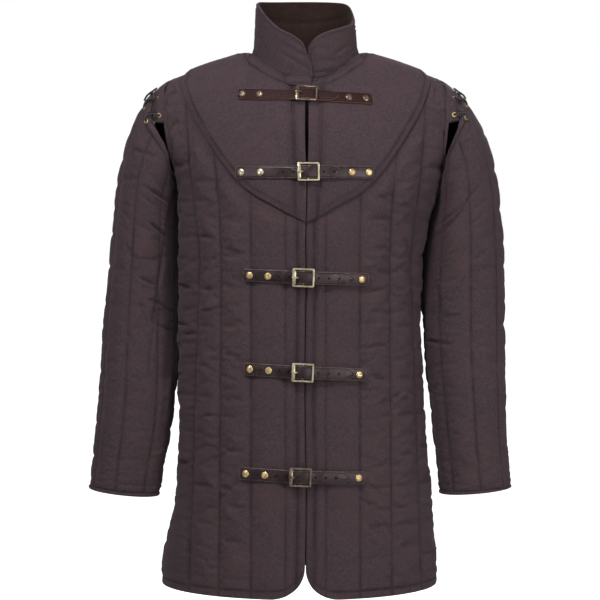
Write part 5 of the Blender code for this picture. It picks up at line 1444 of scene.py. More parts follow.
def lace_route(side):
    """A hanging end, then a bight at each pair of eyelets."""
    start = laid_on("groove", side, -LACE_END - LACE_LEAD, GROOVE_DEPTH)
    hang = np.array(LACE_HANG[side])
    corners = [start + hang, start + hang / 2]
    for place in lace_places():
        corners += [laid_on(where, side, place + ahead, inset) for where, ahead, inset in LACE_BIGHT]
    return corners


def smooth_route(route, spacing):
    """Points at an even spacing on a smooth curve through the route."""
    dense = []
    for i in range(len(route) - 1):
        before, start, end, after = route[max(i - 1, 0)], route[i], route[i + 1], route[min(i + 2, len(route) - 1)]
        for t in np.arange(12) / 12:
            dense.append(0.5 * (
                2 * start + (end - before) * t
                + (2 * before - 5 * start + 4 * end - after) * t * t
                + (3 * start - before - 3 * end + after) * t**3
            ))
    dense = np.array(dense + [route[-1]])
    run = np.concatenate(([0.0], np.cumsum(np.linalg.norm(np.diff(dense, axis=0), axis=1))))
    places = np.linspace(0, run[-1], max(2, round(run[-1] / spacing)) + 1)
    return np.stack([np.interp(places, run, dense[:, axis]) for axis in range(3)], axis=1)


def make_laces(cord):
    """One round cord a side, through the eyelets of the strip and the sleeve."""
    for side in (RIGHT, LEFT):
        name = "lace_" + SIDE_NAMES[side]
        route = smooth_route(lace_route(side), LACE_STEP / 3)
        curve = bpy.data.curves.new(name + "_cord", "CURVE")
        curve.dimensions = "3D"
        curve.bevel_depth = LACE_DIAMETER / 2
        curve.bevel_resolution = 3
        curve.use_fill_caps = True
        spline = curve.splines.new("POLY")
        spline.points.add(len(route) - 1)
        for point, place in zip(spline.points, route):
            point.co = (*place.tolist(), 1.0)
        curve.materials.append(cord)
        lace = dress(add_object(name + "_cord", curve), [name])


# ---- Straps ----


def on_front(out, height):
    """The body's front at places seen from the front: points, outward normals and the way up along them."""
    out, height = np.atleast_1d(np.asarray(out, float)), np.atleast_1d(np.asarray(height, float))
    point, normal = np.zeros((len(out), 3)), np.zeros((len(out), 3))
    for side, here in ((RIGHT, out < 0), (LEFT, out >= 0)):
        if not here.any():
            continue
        x, z = out[here], height[here]
        share = np.minimum(np.abs(x) / HALF_GIRTH, 0.9)
        level = (z - HEM_HEIGHT) / BODY_RISE
        level = np.where(level > 1, 1 + (z - UNDERARM_HEIGHT) / 0.21, level)
        step = 0.002
        for _ in range(14):
            spot = body_point(side, FRONT, share, level)
            miss_out, miss_up = np.abs(x) - np.abs(spot[:, 0]), z - spot[:, 2]
            by_share = (body_point(side, FRONT, share + step, level) - spot) / step
            by_level = (body_point(side, FRONT, share, level + step) - spot) / step
            a, b, c, d = side * by_share[:, 0], side * by_level[:, 0], by_share[:, 2], by_level[:, 2]
            whole = a * d - b * c
            share = np.clip(share + (d * miss_out - b * miss_up) / whole, 0.0, 0.97)
            level = np.clip(level + (a * miss_up - c * miss_out) / whole, 0.0, 1.97)
        point[here], normal[here] = body_point(side, FRONT, share, level), body_normal(side, FRONT, share, level)
    return point, normal, unit(np.array((0.0, 0.0, 1.0)) - normal * normal[:, 2:3])


def billet_stations(strap):
    """From the riveted end, under the near bar, over the middle bar, under the far bar, to the point."""
    half = STRAP_WIDTH / 2
    end, buckle, tip, lift = (strap[key] for key in ("end", "buckle", "tip", "lift"))
    rest = lift + STRAP_THICKNESS + STRAP_GAP
    over = rest + BUCKLE_THICKNESS + STRAP_GAP
    near, far = buckle - BUCKLE_WIDTH / 2, buckle + BUCKLE_WIDTH / 2
    return [
        # place across the front, half width, height of the underside
        (end, half - 0.0024, lift), (end + 0.0009, half - 0.0008, lift), (end + 0.0024, half, lift),
        (near - 0.012, half, lift), (near - 0.004, half, lift + 0.0014), (near + 0.004, half, over - 0.0016),
        (buckle - 0.005, half, over), (buckle + 0.005, half, over), (far - 0.004, half, over - 0.0016),
        (far + 0.006, half, rest), (tip - 0.022, half, rest), (tip - 0.014, half, rest + 0.0004),
        (tip - 0.009, half * 0.86, rest + 0.0006), (tip - 0.004, half * 0.52, rest + 0.0004),
        (tip - 0.001, half * 0.24, rest), (tip, half * 0.12, rest),
    ]


def chape_stations(strap):
    half = STRAP_WIDTH / 2
    buckle, end, lift = (strap[key] for key in ("buckle", "chape", "lift"))
    return [
        (buckle - 0.004, half - 0.001, lift), (buckle - 0.002, half, lift), (end - 0.0024, half, lift),
        (end - 0.0009, half - 0.0008, lift), (end, half - 0.0024, lift),
    ]


def leather_section(half):
    """Across and up for the ring of one station: flat below, rounded edges, a creased line inside each."""
    scale = min(1.0, half / 0.006)
    rounding = [(0.0, 0.30), (0.0, 0.68), (0.0003, 0.90), (0.0009, 1.0), (0.0015, 0.985), (DARK_MARK, 0.86),
                (0.0023, 0.985), (0.0034, 1.0)]
    right = [(half - inset * scale, STRAP_THICKNESS * rise) for inset, rise in rounding]
    crown = [(half * share, STRAP_THICKNESS * rise) for share, rise in ((0.4, 1.14), (0.0, 1.19), (-0.4, 1.14))]
    left = [(-across, rise) for across, rise in right[::-1]]
    return [(-half + 0.0005 * scale, 0.0), (0.0, 0.0), (half - 0.0005 * scale, 0.0)] + right + crown + left


def leather_band(name, strap, stations, leather):
    """A strap that follows the front: every station's ring, joined and closed at both ends."""
    places, half_widths, heights = np.array(stations).T
    outs = fan(list(places), 0.0026, 0.0)
    halves, lifts = np.interp(outs, places, half_widths), np.interp(outs, places, heights)
    for _ in range(2):
        lifts[1:-1] = 0.25 * lifts[:-2] + 0.5 * lifts[1:-1] + 0.25 * lifts[2:]
    point, normal, up = on_front(outs, strap_height(strap, outs))
    section = np.array([leather_section(half) for half in halves])
    ring = section.shape[1]
    wave = 0.00012 * np.sin(outs * 260 + strap["height"] * 90)
    lift = lead(lifts + wave) + section[:, :, 1]
    points = point[:, None] + up[:, None] * section[:, :, :1] + normal[:, None] * lead(lift)
    piece = finish_mesh(name, points.reshape(-1, 3), ring_faces(len(outs), ring), 40.0)
    run, across = np.repeat(outs - outs[0], ring), section[:, :, 0].ravel()
    from_end = np.minimum(run, outs[-1] - outs[0] - run)
    edge = np.minimum(np.repeat(halves, ring) - np.abs(across), from_end)
    add_flat(piece, run, across)
    add_marks(piece, {"edge": np.clip(edge, 0, EDGE_REACH)})
    piece.data.materials.append(leather)
    return piece


def turned_matrix(place, *axes):
    """A place and turn, from the place and the directions of x, y and z."""
    matrix = np.eye(4)
    matrix[:3, :3] = np.stack(axes, axis=1)
    matrix[:3, 3] = place
    return Matrix(matrix.tolist())


def strap_matrix(strap, out, lift):
    """The place and turn of something that lies on a strap: x along it, y across it, z off the body."""
    point, normal, up = (values[0] for values in on_front(out, strap_height(strap, out)))
    sideways = unit(np.cross(up, normal))
    sideways = sideways if sideways[0] > 0 else -sideways
    sideways = unit(sideways - up * strap["fall"])
    return turned_matrix(point + normal * lift, sideways, unit(np.cross(normal, sideways)), normal)


def join_pieces(parts):
    """One piece of several, under the first one's name."""
    bpy.ops.object.select_all(action="DESELECT")
    for part in parts:
        part.select_set(True)
    bpy.context.view_layer.objects.active = parts[0]
    bpy.ops.object.join()
    return bpy.context.object


def punch(billet, strap):
    """Punches the row of holes: the prong's goes right through, the others end in a floor."""
    cutters = []
    table = np.array(billet_stations(strap))
    for place in strap["holes"] + (PRONG_HOLE,):
        out = strap["buckle"] + place
        radius, under = (HOLE_RADIUS * 1.3, -0.004) if place == PRONG_HOLE else (HOLE_RADIUS, 0.0006)
        bpy.ops.object.select_all(action="DESELECT")
        bpy.ops.mesh.primitive_cylinder_add(vertices=14, radius=radius, depth=0.012)
        cutters.append(bpy.context.object)
        cutters[-1].data.transform(strap_matrix(strap, out, np.interp(out, table[:, 0], table[:, 2]) + under + 0.006))
    cutter = join_pieces(cutters)
    hole = billet.modifiers.new("holes", "BOOLEAN")
    hole.operation, hole.solver, hole.object = "DIFFERENCE", "EXACT", cutter
    apply_modifiers(billet)
    bpy.data.objects.remove(cutter)


def darken_holes(billet, strap):
    """Marks the holes' rims and floors for painted shade, as dark as the creased line."""
    where, edge = np.zeros((len(billet.data.vertices), 3)), np.zeros(len(billet.data.vertices))
    billet.data.vertices.foreach_get("co", where.ravel())
    billet.data.attributes["edge"].data.foreach_get("value", edge)
    for place in strap["holes"] + (PRONG_HOLE,):
        centre = np.array(strap_matrix(strap, strap["buckle"] + place, 0.0))
        off = where - centre[:3, 3]
        reach = np.hypot(off @ centre[:3, 0], off @ centre[:3, 1])
        edge[reach < HOLE_RADIUS * (1.35 if place == PRONG_HOLE else 1.05)] = DARK_MARK
    billet.data.attributes["edge"].data.foreach_set("value", edge)


# ---- Brass ----


def apply_modifiers(piece):
    bpy.ops.object.select_all(action="DESELECT")
    piece.select_set(True)
    bpy.context.view_layer.objects.active = piece
    for modifier in list(piece.modifiers):
        bpy.ops.object.modifier_apply(modifier=modifier.name)


def pick(piece, wanted, points=False):
    """Selects the faces whose middle and normal pass a test, or the points whose place does, and nothing else."""
    shape = bmesh.from_edit_mesh(piece.data)
    bpy.ops.mesh.select_mode(type="VERT" if points else "FACE")
    bpy.ops.mesh.select_all(action="DESELECT")
    if points:
        for point in shape.verts:
            point.select = bool(wanted(point.co))
    else:
        for face in shape.faces:
            face.select = bool(wanted(face.calc_center_median(), face.normal))
    shape.select_flush_mode()
    bmesh.update_edit_mesh(piece.data)


def start_disc(sides, radius, height):
    """A disc that stands on z = 0, in edit mode with its upper face selected."""
    bpy.ops.object.select_all(action="DESELECT")
    bpy.ops.mesh.primitive_cylinder_add(vertices=sides, radius=radius, depth=height, location=(0, 0, height / 2))
    disc = bpy.context.object
    bpy.ops.object.transform_apply(location=True)
    bpy.ops.object.mode_set(mode="EDIT")
    pick(disc, lambda middle, normal: normal.z > 0.9)
    return disc


def start_block(size, middle):
    """A block in edit mode."""
    bpy.ops.object.select_all(action="DESELECT")
    bpy.ops.mesh.primitive_cube_add(size=1.0)
    bpy.ops.object.mode_set(mode="EDIT")
    bpy.ops.mesh.select_all(action="SELECT")
    bpy.ops.transform.resize(value=size)
    bpy.ops.transform.translate(value=middle)
    return bpy.context.object


def cut_across(axis, places):
    """Cuts the whole mesh across an axis at these places."""
    plane = np.eye(3)[axis]
    for place in places:
        bpy.ops.mesh.select_all(action="SELECT")
        bpy.ops.mesh.bisect(plane_co=(plane * place).tolist(), plane_no=plane.tolist())


def step_in(steps):
    """Draws the selected face in and up, step by step."""
    for inset, rise in steps:
        bpy.ops.mesh.inset(thickness=inset, depth=0.0)
        bpy.ops.transform.translate(value=(0, 0, rise))


def open_through(piece, wanted):
    """Takes out the faces picked above and below, and joins the two rims by a wall."""
    pick(piece, wanted)
    bpy.ops.mesh.delete(type="FACE")
    bpy.ops.mesh.select_mode(type="EDGE")
    bpy.ops.mesh.select_non_manifold()
    bpy.ops.mesh.bridge_edge_loops()


def finish_brass(piece, bevel, angle=35.0):
    """Leaves edit mode, softens the sharp edges and shades the rest smooth."""
    bpy.ops.mesh.select_all(action="SELECT")
    bpy.ops.mesh.normals_make_consistent(inside=False)
    bpy.ops.object.mode_set(mode="OBJECT")
    soften = piece.modifiers.new("softened edges", "BEVEL")
    soften.width = bevel
    soften.segments = 2
    soften.limit_method = "ANGLE"
    soften.angle_limit = math.radians(angle)
    apply_modifiers(piece)
    bpy.ops.object.shade_smooth_by_angle(angle=math.radians(angle))
    return piece


def model_rivet():
    """A domed cap with a small dimple, standing on z = 0."""
    rivet = start_disc(32, RIVET_RADIUS, 0.0010)
    step_in(((0.0009, 0.0005), (0.0013, 0.0004), (0.0014, 0.0002), (0.0004, -0.0004), (0.0006, -0.0002)))
    return finish_brass(rivet, 0.00012, 25.0)


def model_eyelet():
    """A rolled ring with an open middle, lying on z = 0."""
    eyelet = start_disc(28, 0.0042, 0.0006)
    step_in(((0.0007, 0.0006), (0.0007, 0.0001), (0.0006, -0.0005)))
    pick(eyelet, lambda middle, normal: normal.z < -0.9)
    bpy.ops.mesh.inset(thickness=0.0020, depth=0.0)
    open_through(eyelet, lambda middle, normal: math.hypot(middle.x, middle.y) < 1e-5 and abs(normal.z) > 0.9)
    return finish_brass(eyelet, 0.00012, 25.0)


def model_buckle():
    """A cast frame with two windows on z = 0, its middle bar set down below them."""
    half_width, half_height, bar = BUCKLE_WIDTH / 2, BUCKLE_HEIGHT / 2, BUCKLE_BAR * 0.86
    clear = STRAP_WIDTH / 2 + 0.0008
    buckle = start_block((BUCKLE_WIDTH, BUCKLE_HEIGHT, BUCKLE_THICKNESS), (0, 0, BUCKLE_THICKNESS / 2))
    cut_across(0, (-half_width + bar, -bar / 2, bar / 2, half_width - bar))
    cut_across(1, (-half_height + bar, -clear, clear, half_height - bar))
    for middle_x in (-half_width / 2, half_width / 2):
        open_through(buckle, lambda middle, normal: abs(normal.z) > 0.9 and abs(middle.y) < half_height - bar
                     and abs(middle.x - middle_x) < half_width / 2 - bar * 0.8)
    # The middle bar, the round corners, the wide near bar, and the slope of the frame's upper side.
    pick(buckle, lambda place: abs(place.x) < bar and abs(place.y) < clear + TOUCH, points=True)
    drop = BUCKLE_THICKNESS + STRAP_GAP + STRAP_THICKNESS - BUCKLE_DIP
    bpy.ops.transform.translate(value=(0, 0, -drop))
    pick(buckle, lambda place: abs(place.x) > half_width - TOUCH and abs(place.y) > half_height - TOUCH, points=True)
    bpy.ops.mesh.bevel(offset=0.0022, segments=4, affect="EDGES")
    pick(buckle, lambda place: place.x < bar - half_width + TOUCH and abs(place.y) < clear + TOUCH, points=True)
    bpy.ops.transform.resize(value=(1.95, 1.0, NEAR_BAR_SWELL), center_override=(-half_width, 0, 0))
    pick(buckle, lambda place: place.z > BUCKLE_THICKNESS - TOUCH, points=True)
    bpy.ops.transform.resize(value=(0.985, 0.982, 1.0), center_override=(0, 0, BUCKLE_THICKNESS))
    return finish_brass(buckle, 0.00055)


def model_prong():
    """The tongue, from the middle bar up through the billet's hole and over the near bar, in the buckle's frame."""
    low = STRAP_GAP + BUCKLE_DIP
    bar_top = BUCKLE_THICKNESS * NEAR_BAR_SWELL + STRAP_GAP
    tip, near_bar = -BUCKLE_WIDTH / 2 - 0.0008, -BUCKLE_WIDTH / 2 + 0.0063
    end = -BUCKLE_BAR / 2 - 0.0002
    prong = start_block((end - tip, 0.0027, 0.0018), ((end + tip) / 2, 0, low + 0.0014))
    cut_across(0, (PRONG_HOLE + 0.0012, PRONG_HOLE - 0.0012, near_bar, near_bar - 0.0026))
    pick(prong, lambda place: place.x < near_bar + TOUCH, points=True)
    bpy.ops.transform.translate(value=(0, 0, bar_top - low))
    pick(prong, lambda place: place.x > PRONG_HOLE + 0.0010, points=True)
    bpy.ops.transform.translate(value=(0, 0, -0.0053))
    pick(prong, lambda place: place.x < tip + TOUCH, points=True)
    bpy.ops.transform.resize(value=(1.0, 0.62, 1.0), center_override=(tip, 0, bar_top))
    return finish_brass(prong, 0.0005)


def place_copy(model, name, matrix, material):
    """One more of a modelled piece, with its own mesh, its place in the mesh."""
    mesh = model.data.copy()
    mesh.name = name
    mesh.transform(matrix)
    mesh.materials.clear()
    mesh.materials.append(material)
    return add_object(name, mesh)


def make_straps(leathers, metals):
    """Five buckled straps, with their rivets."""
    rivet, buckle, prong = model_rivet(), model_buckle(), model_prong()
    brass, golden, bronze = metals
    for strap in STRAPS:
        name = strap["name"]
        brown = name == "strap_1"
        leather = leathers[brown]
        billet = leather_band(name + "_billet_leather", strap, billet_stations(strap), leather)
        punch(billet, strap)
        if not brown:  # the brown strap's holes are worn pale
            # Painted shade in the holes of the other straps.
            darken_holes(billet, strap)
        dress(billet, [name + "_billet"])
        chape = leather_band(name + "_chape_leather", strap, chape_stations(strap), leather)
        dress(chape, [name + "_chape"])
        seat = strap["lift"] + 2 * STRAP_THICKNESS + 2 * STRAP_GAP + BUCKLE_THICKNESS - BUCKLE_DIP
        place = strap_matrix(strap, strap["buckle"], seat)
        metal = bronze if name in ("strap_1", "strap_5") else brass
        for model, kind in ((buckle, "buckle"), (prong, "prong")):
            dress(place_copy(model, f"{name}_{kind}_brass", place, metal), [f"{name}_{kind}"])
        for which in ("rivet_a", "rivet_b", "rivet_c", "rivet_d"):
            out = strap[which]
            if out is not None:
                # Strap 2's rivets on the wearer's right take the paler brass, as a painted highlight where the key
                # light falls.
                metal = bronze if brown else brass if name == "strap_2" and out < 0 else golden
                place = strap_matrix(strap, out, strap["lift"] + STRAP_THICKNESS + RIVET_SEAT - 0.0004)
                dress(place_copy(rivet, f"{name}_{which}_brass", place, metal), [f"{name}_{which}"])
    for model in (rivet, buckle, prong):
        bpy.data.objects.remove(model)


def make_eyelets(brass):
    """Eyelets for the laces, in each strip and in each sleeve head."""
    eyelet = model_eyelet()
    for side in (RIGHT, LEFT):
        for where, ahead, lower in (("strip", -0.015, 0.0018), ("sleeve", 0.010, 0.0013)):
            parts = []
            for place in lace_places():
                spot = laid_on(where, side, place + ahead, EYELET_INSET)
                if where == "strip":
                    normal = strip_frame(side, place + ahead)[2]
                else:
                    normal = sleeve_normal(side, -(place + ahead) * HEAD_ANGLE, EYELET_INSET / SLEEVE_LENGTH)
                aside = unit(np.cross(normal, (0.0, 1.0, 0.0)))
                spot = spot - normal * (LACE_DIAMETER / 2 + lower)
                seat = turned_matrix(spot, aside, np.cross(normal, aside), normal)
                parts.append(place_copy(eyelet, "eyelet", seat, brass))
            row = join_pieces(parts)
            row.name = row.data.name = f"eyelets_{where}_{SIDE_NAMES[side]}"
            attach(row, "root")
    bpy.data.objects.remove(eyelet)


# ---- Finishes ----


def put(tree, socket, value):
    """A link, a number or a colour into an input."""
    if isinstance(value, bpy.types.NodeSocket):
        tree.links.new(value, socket)
    else:
        socket.default_value = (*value, 1.0) if socket.type == "RGBA" else value


def add_node(tree, kind, values=(), **settings):
    """A node with its settings, and with numbers, colours or links in its inputs."""
    node = tree.nodes.new("ShaderNode" + kind)
    for key, value in settings.items():
        setattr(node, key, value)
    for key, value in dict(values).items():
        put(tree, node.inputs[key], value)
    return node


def calc(tree, operation, *values):
    return add_node(tree, "Math", enumerate(values), operation=operation).outputs[0]


def times(tree, first, second):
    return calc(tree, "MULTIPLY", first, second)


def times_plus(tree, first, second, third):
    """First times second, plus third."""
    return calc(tree, "MULTIPLY_ADD", first, second, third)


def fade(tree, value, start, end, low=1.0, high=0.0):
    """A smooth change from low to high as a value goes from start to end."""
    values = {"Value": value, "From Min": start, "From Max": end, "To Min": low, "To Max": high}
    return add_node(tree, "MapRange", values, interpolation_type="SMOOTHSTEP").outputs["Result"]


def blend_colours(tree, share, first, second):
    return add_node(tree, "Mix", {0: share, 6: first, 7: second}, data_type="RGBA", blend_type="MIX").outputs[2]


def new_group(name, inputs, outputs):
    """A shared effect. An input named Place or Cut is a vector, any other a number."""
    group = bpy.data.node_groups.new(name, "ShaderNodeTree")
    for label in inputs:
        kind = "NodeSocketVector" if label in ("Place", "Cut") else "NodeSocketFloat"
        group.interface.new_socket(name=label, in_out="INPUT", socket_type=kind)
    for label in outputs:
        group.interface.new_socket(name=label, in_out="OUTPUT", socket_type="NodeSocketFloat")
    start = group.nodes.new("NodeGroupInput")
    end = group.nodes.new("NodeGroupOutput")
    return group, start.outputs, end.inputs


def weave_group():
    """Plain weave with thick and thin threads. Cut is in metres, Pitch is the width of one thread in metres."""
    tree, given, out = new_group("canvas weave", ("Cut", "Pitch"), ("Height", "Threads"))
    spot = add_node(tree, "SeparateXYZ", {"Vector": given["Cut"]}).outputs
    turns = calc(tree, "DIVIDE", math.pi, given["Pitch"])
    warp = calc(tree, "SINE", times(tree, spot["X"], turns))
    weft = calc(tree, "SINE", times(tree, spot["Y"], turns))
    over = times_plus(tree, times(tree, warp, weft), 0.5, 0.5)
    slubs = []
    for stretch in ((1500.0, 110.0, 1.0), (110.0, 1500.0, 1.0)):
        spread = add_node(tree, "VectorMath", {0: given["Cut"], 1: stretch}, operation="MULTIPLY").outputs[0]
        noise = add_node(tree, "TexNoise", {"Vector": spread, "Scale": 1.0, "Detail": 1.0}, noise_dimensions="2D")
        slubs.append(noise.outputs[0])
    threads = times_plus(tree, calc(tree, "ADD", *slubs), 0.5, 0.0)
    put(tree, out["Height"], times_plus(tree, over, 0.4, threads))
    put(tree, out["Threads"], threads)
    return tree


def seam_group():
    """A line of stitches: Away is the distance from it and Run the distance along it, in metres. Shade is a mask for
    painted shade in the line's groove.
    """
    tree, given, out = new_group("stitch line", ("Away", "Run", "Stitch"), ("Shade", "Thread", "Height"))
    close = fade(tree, given["Away"], 0.0004, 0.0017)
    wide = fade(tree, given["Away"], 0.0010, 0.0060)
    beat = calc(tree, "PINGPONG", calc(tree, "DIVIDE", given["Run"], given["Stitch"]), 0.5)
    dash = fade(tree, beat, 0.07, 0.15, 0.0, 1.0)
    thread = times(tree, dash, fade(tree, given["Away"], 0.00035, 0.0007))
    put(tree, out["Shade"], times_plus(tree, close, 0.68, times(tree, wide, 0.32)))
    put(tree, out["Thread"], thread)
    put(tree, out["Height"], times_plus(tree, thread, 0.8, times(tree, close, -0.6)))
    return tree


def patches_group():
    """Uneven dye and handling: a soft mask at a chosen Size, in metres."""
    tree, given, out = new_group("uneven patches", ("Place", "Size"), ("Mask",))
    scale = calc(tree, "DIVIDE", 1.0, given["Size"])
    noise = add_node(tree, "TexNoise", {"Vector": given["Place"], "Scale": scale, "Detail": 3.0, "Roughness": 0.55})
    put(tree, out["Mask"], fade(tree, noise.outputs[0], 0.32, 0.68, 0.0, 1.0))
    return tree


def wear_group():
    """Rubbed edges: Edge is the distance in from an edge and Reach how far the wear goes, in metres."""
    tree, given, out = new_group("rubbed edges", ("Edge", "Reach", "Place"), ("Mask",))
    share = calc(tree, "DIVIDE", given["Edge"], given["Reach"])
    noise = add_node(tree, "TexNoise", {"Vector": given["Place"], "Scale": 240.0, "Detail": 2.0}).outputs[0]
    put(tree, out["Mask"], fade(tree, times_plus(tree, noise, 0.9, share), 0.55, 1.25))
    return tree


def use_group(tree, group, **values):
    return add_node(tree, "Group", values, node_tree=group).outputs


def read_mark(tree, name):
    return add_node(tree, "Attribute", attribute_name=name, attribute_type="GEOMETRY").outputs["Fac"]


def object_place(tree):
    return add_node(tree, "TexCoord").outputs["Object"]


def new_material(name, **sockets):
    """A material whose shader has plain values in the sockets named."""
    material = bpy.data.materials.new(name)
    material.use_nodes = True
    tree = material.node_tree
    shader = tree.nodes["Principled BSDF"]
    for key, value in sockets.items():
        put(tree, shader.inputs[key.replace("_", " ")], value)
    return material, tree, shader


def dress_shader(tree, shader, height, depth, values):
    """Links values into a shader's inputs, and a bump that is so deep, in metres."""
    bump = add_node(tree, "Bump", {"Height": height, "Distance": depth, "Strength": 1.0})
    for key, value in {**values, "Normal": bump.outputs["Normal"]}.items():
        put(tree, shader.inputs[key], value)


def canvas_material(name, groups, dark, light, warm, stitched=True):
    """Woven cloth, dyed unevenly. Stitched cloth has painted shade along its lines of stitches and its deep creases,
    and is rubbed at its edges.
    """
    weave, seam, patches, wear = groups
    material, tree, shader = new_material(name, Sheen_Weight=0.10, Sheen_Roughness=0.45,
                                          Sheen_Tint=(0.80, 0.66, 0.71), Specular_IOR_Level=0.15)
    place = object_place(tree)
    cloth = use_group(tree, weave, Cut=add_node(tree, "UVMap", uv_map="cut").outputs[0], Pitch=0.00095)
    dye, cast, fleck = (use_group(tree, patches, Place=place, Size=size)["Mask"] for size in (0.085, 0.026, 0.0036))
    threads = fade(tree, cloth["Threads"], 0.34, 0.66, 0.0, 1.0)
    tone = times_plus(tree, fleck, 0.34, times_plus(tree, threads, 0.34, 0.06))
    colour = blend_colours(tree, tone, dark, light)
    colour = blend_colours(tree, times(tree, times(tree, dye, cast), 0.62), colour, warm)
    height = cloth["Height"]
    if stitched:
        # Painted shade along the stitch lines and creases, uneven in strength, blended to near-black; the threads
        # themselves are lighter.
        line = use_group(tree, seam, Away=read_mark(tree, "stitch"), Run=read_mark(tree, "run"), Stitch=0.0034)
        uneven = use_group(tree, patches, Place=place, Size=0.034)["Mask"]
        painted_shade = times(tree, line["Shade"], times_plus(tree, uneven, 0.42, 0.38))
        colour = blend_colours(tree, painted_shade, colour, (0.010, 0.007, 0.008))
        colour = blend_colours(tree, times(tree, line["Thread"], 0.3), colour, light)
        height = times_plus(tree, line["Height"], 2.2, height)
        rub = use_group(tree, wear, Edge=read_mark(tree, "edge"), Reach=0.0030, Place=place)["Mask"]
        colour = blend_colours(tree, times(tree, rub, 0.22), colour, light)
    dress_shader(tree, shader, height, 0.00005,
                 {"Base Color": colour, "Roughness": fade(tree, tone, 0.0, 1.0, 0.97, 0.86)})
    return material


def leather_material(name, groups, dark, light, edge_wear_and_highlight, low_gloss, high_gloss, coat):
    """Scuffed leather with rubbed edges, lightened both by wear and as a painted highlight."""
    patches, wear = groups[2:]
    material, tree, shader = new_material(name, Coat_Roughness=0.25, Specular_IOR_Level=0.30,
                                          Specular_Tint=(1.0, 0.80, 0.86))
    place, edge = object_place(tree), read_mark(tree, "edge")
    grain = add_node(tree, "TexVoronoi", {"Vector": place, "Scale": 950.0}, feature="DISTANCE_TO_EDGE").outputs[0]
    pores = fade(tree, grain, 0.0, 0.16, 0.0, 1.0)
    scuffs = use_group(tree, patches, Place=place, Size=0.030)["Mask"]
    rub = use_group(tree, wear, Edge=edge, Reach=0.0013, Place=place)["Mask"]
    # The dark creased line, and painted shade in the punched holes.
    from_crease = calc(tree, "ABSOLUTE", calc(tree, "SUBTRACT", edge, DARK_MARK))
    sunk = fade(tree, from_crease, 0.0001, 0.0006, 1.0, 0.0)
    colour = blend_colours(tree, scuffs, dark, light)
    # Rubbed edges: wear, and a painted highlight along the edges.
    colour = blend_colours(tree, times(tree, rub, 0.75), colour, edge_wear_and_highlight)
    colour = blend_colours(tree, times(tree, sunk, 0.9), colour, (0.003, 0.002, 0.002))
    gloss = fade(tree, scuffs, 0.0, 1.0, low_gloss, high_gloss)
    glaze = fade(tree, scuffs, 0.0, 1.0, coat, coat * 0.4)
    dress_shader(tree, shader, times_plus(tree, scuffs, 0.8, pores), 0.00004, {
        "Base Color": colour,
        "Roughness": calc(tree, "MAXIMUM", gloss, times(tree, sunk, 0.95)),
        "Coat Weight": times(tree, glaze, calc(tree, "SUBTRACT", 1.0, sunk)),
    })
    return material


def brass_material(name, groups, bright, dull):
    """Brass with tarnish and small pits."""
    material, tree, shader = new_material(name, Metallic=1.0)
    place = object_place(tree)
    tarnish, pits = (use_group(tree, groups[2], Place=place, Size=size)["Mask"] for size in (0.0060, 0.0009))
    mixed = times_plus(tree, pits, 0.35, times(tree, tarnish, 0.65))
    dress_shader(tree, shader, mixed, 0.00008, {"Base Color": blend_colours(tree, mixed, bright, dull),
                                                "Roughness": fade(tree, mixed, 0.0, 1.0, 0.24, 0.46)})
    return material


def cord_material(groups):
    """Braided dark cord."""
    material, tree, shader = new_material("lace cord", Roughness=0.8, Sheen_Weight=0.2)
    place = object_place(tree)
    braid = add_node(tree, "TexWave", {"Vector": place, "Scale": 330.0, "Distortion": 2.0, "Detail": 1.0},
                     bands_direction="DIAGONAL").outputs[1]
    faded = use_group(tree, groups[2], Place=place, Size=0.010)["Mask"]
    colour = blend_colours(tree, braid, (0.012, 0.009, 0.010), (0.050, 0.040, 0.041))
    colour = blend_colours(tree, times(tree, faded, 0.3), colour, (0.034, 0.024, 0.021))
    dress_shader(tree, shader, braid, 0.00035, {"Base Color": colour})
    return material


# ---- Stage ----


def add_light(name, place, aim, size, power):
    """A square lamp. A card shines on brass, leather and other gloss alone."""
    data = bpy.data.lights.new(name, "AREA")
    data.shape = "SQUARE"
    data.size = size
    data.energy = power
    lamp = add_object(name, data)
    turn = (Vector(aim) - Vector(place)).to_track_quat("-Z", "Y").to_matrix().to_4x4()
    lamp.matrix_world = Matrix.Translation(place) @ turn
    lamp.visible_diffuse = "card" not in name
    return lamp


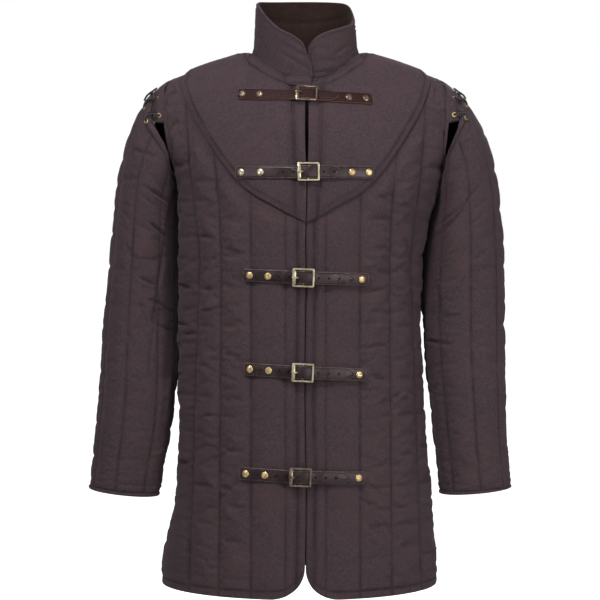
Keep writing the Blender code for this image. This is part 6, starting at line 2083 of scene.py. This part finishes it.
def set_stage():
    """A white floor and a pale sky, both plain white to the camera, and the lights."""
    bpy.context.scene.view_settings.view_transform = "Standard"
    bpy.ops.object.select_all(action="DESELECT")
    bpy.ops.mesh.primitive_circle_add(vertices=64, radius=40.0, fill_type="NGON", location=(0, 0, FLOOR_HEIGHT))
    floor = bpy.context.object
    floor.name = "floor"
    white = (1.0, 1.0, 1.0)
    material, tree, shader = new_material("pale floor", Base_Color=(0.90, 0.90, 0.90), Roughness=0.9,
                                          Emission_Color=white)
    put(tree, shader.inputs["Emission Strength"], add_node(tree, "LightPath").outputs["Is Camera Ray"])
    floor.data.materials.append(material)
    world = bpy.data.worlds.new("studio")
    bpy.context.scene.world = world
    world.use_nodes = True
    tree = world.node_tree
    sky = tree.nodes["Background"]
    height = add_node(tree, "SeparateXYZ", {"Vector": add_node(tree, "TexCoord").outputs["Generated"]})
    glow = fade(tree, height.outputs["Z"], -0.6, 0.9, 0.05, 0.26)
    seen = add_node(tree, "LightPath").outputs["Is Camera Ray"]
    put(tree, sky.inputs["Color"], white)
    put(tree, sky.inputs["Strength"], add_node(tree, "Mix", {0: seen, 2: glow, 3: 1.0}, data_type="FLOAT").outputs[0])
    lamps = {name: add_light(name, *values) for name, values in LIGHTS.items()}
    lamps["key"].data.spread = math.radians(KEY_SPREAD)


def main():
    place_camera()
    groups = (weave_group(), seam_group(), patches_group(), wear_group())
    canvas = canvas_material("aubergine canvas", groups, (0.047, 0.031, 0.037), (0.096, 0.067, 0.078),
                             (0.084, 0.050, 0.052))
    lining = canvas_material("brown lining", groups, (0.022, 0.0125, 0.0105), (0.042, 0.026, 0.022),
                             (0.052, 0.024, 0.022), stitched=False)
    # The body's lining, darkened as painted shade for its inside.
    inside = canvas_material("lining in painted shade", groups, (0.0075, 0.0042, 0.0038), (0.015, 0.009, 0.008),
                             (0.018, 0.008, 0.0075), stitched=False)
    black = leather_material("black strap leather", groups, (0.020, 0.0120, 0.0130), (0.042, 0.0260, 0.0280),
                             (0.22, 0.16, 0.14), 0.20, 0.38, 0.10)
    brown = leather_material("brown strap leather", groups, (0.013, 0.0042, 0.0024), (0.030, 0.0095, 0.0052),
                             (0.24, 0.105, 0.070), 0.52, 0.72, 0.0)
    brass = brass_material("antique brass", groups, (0.80, 0.73, 0.52), (0.30, 0.23, 0.13))
    golden = brass_material("golden brass", groups, (0.86, 0.66, 0.34), (0.42, 0.26, 0.11))
    bronze = brass_material("dark bronze", groups, (0.42, 0.33, 0.25), (0.060, 0.036, 0.026))
    make_laces(cord_material(groups))
    quilted = puff_swatches()
    make_body(canvas, inside, quilted)
    make_mantle(canvas, lining)
    make_collar(canvas, lining)
    make_tab(canvas, lining)
    make_sleeves(canvas, lining, quilted)
    make_strips(canvas)
    make_straps((black, brown), (brass, golden, bronze))
    make_eyelets(golden)
    set_stage()


main()
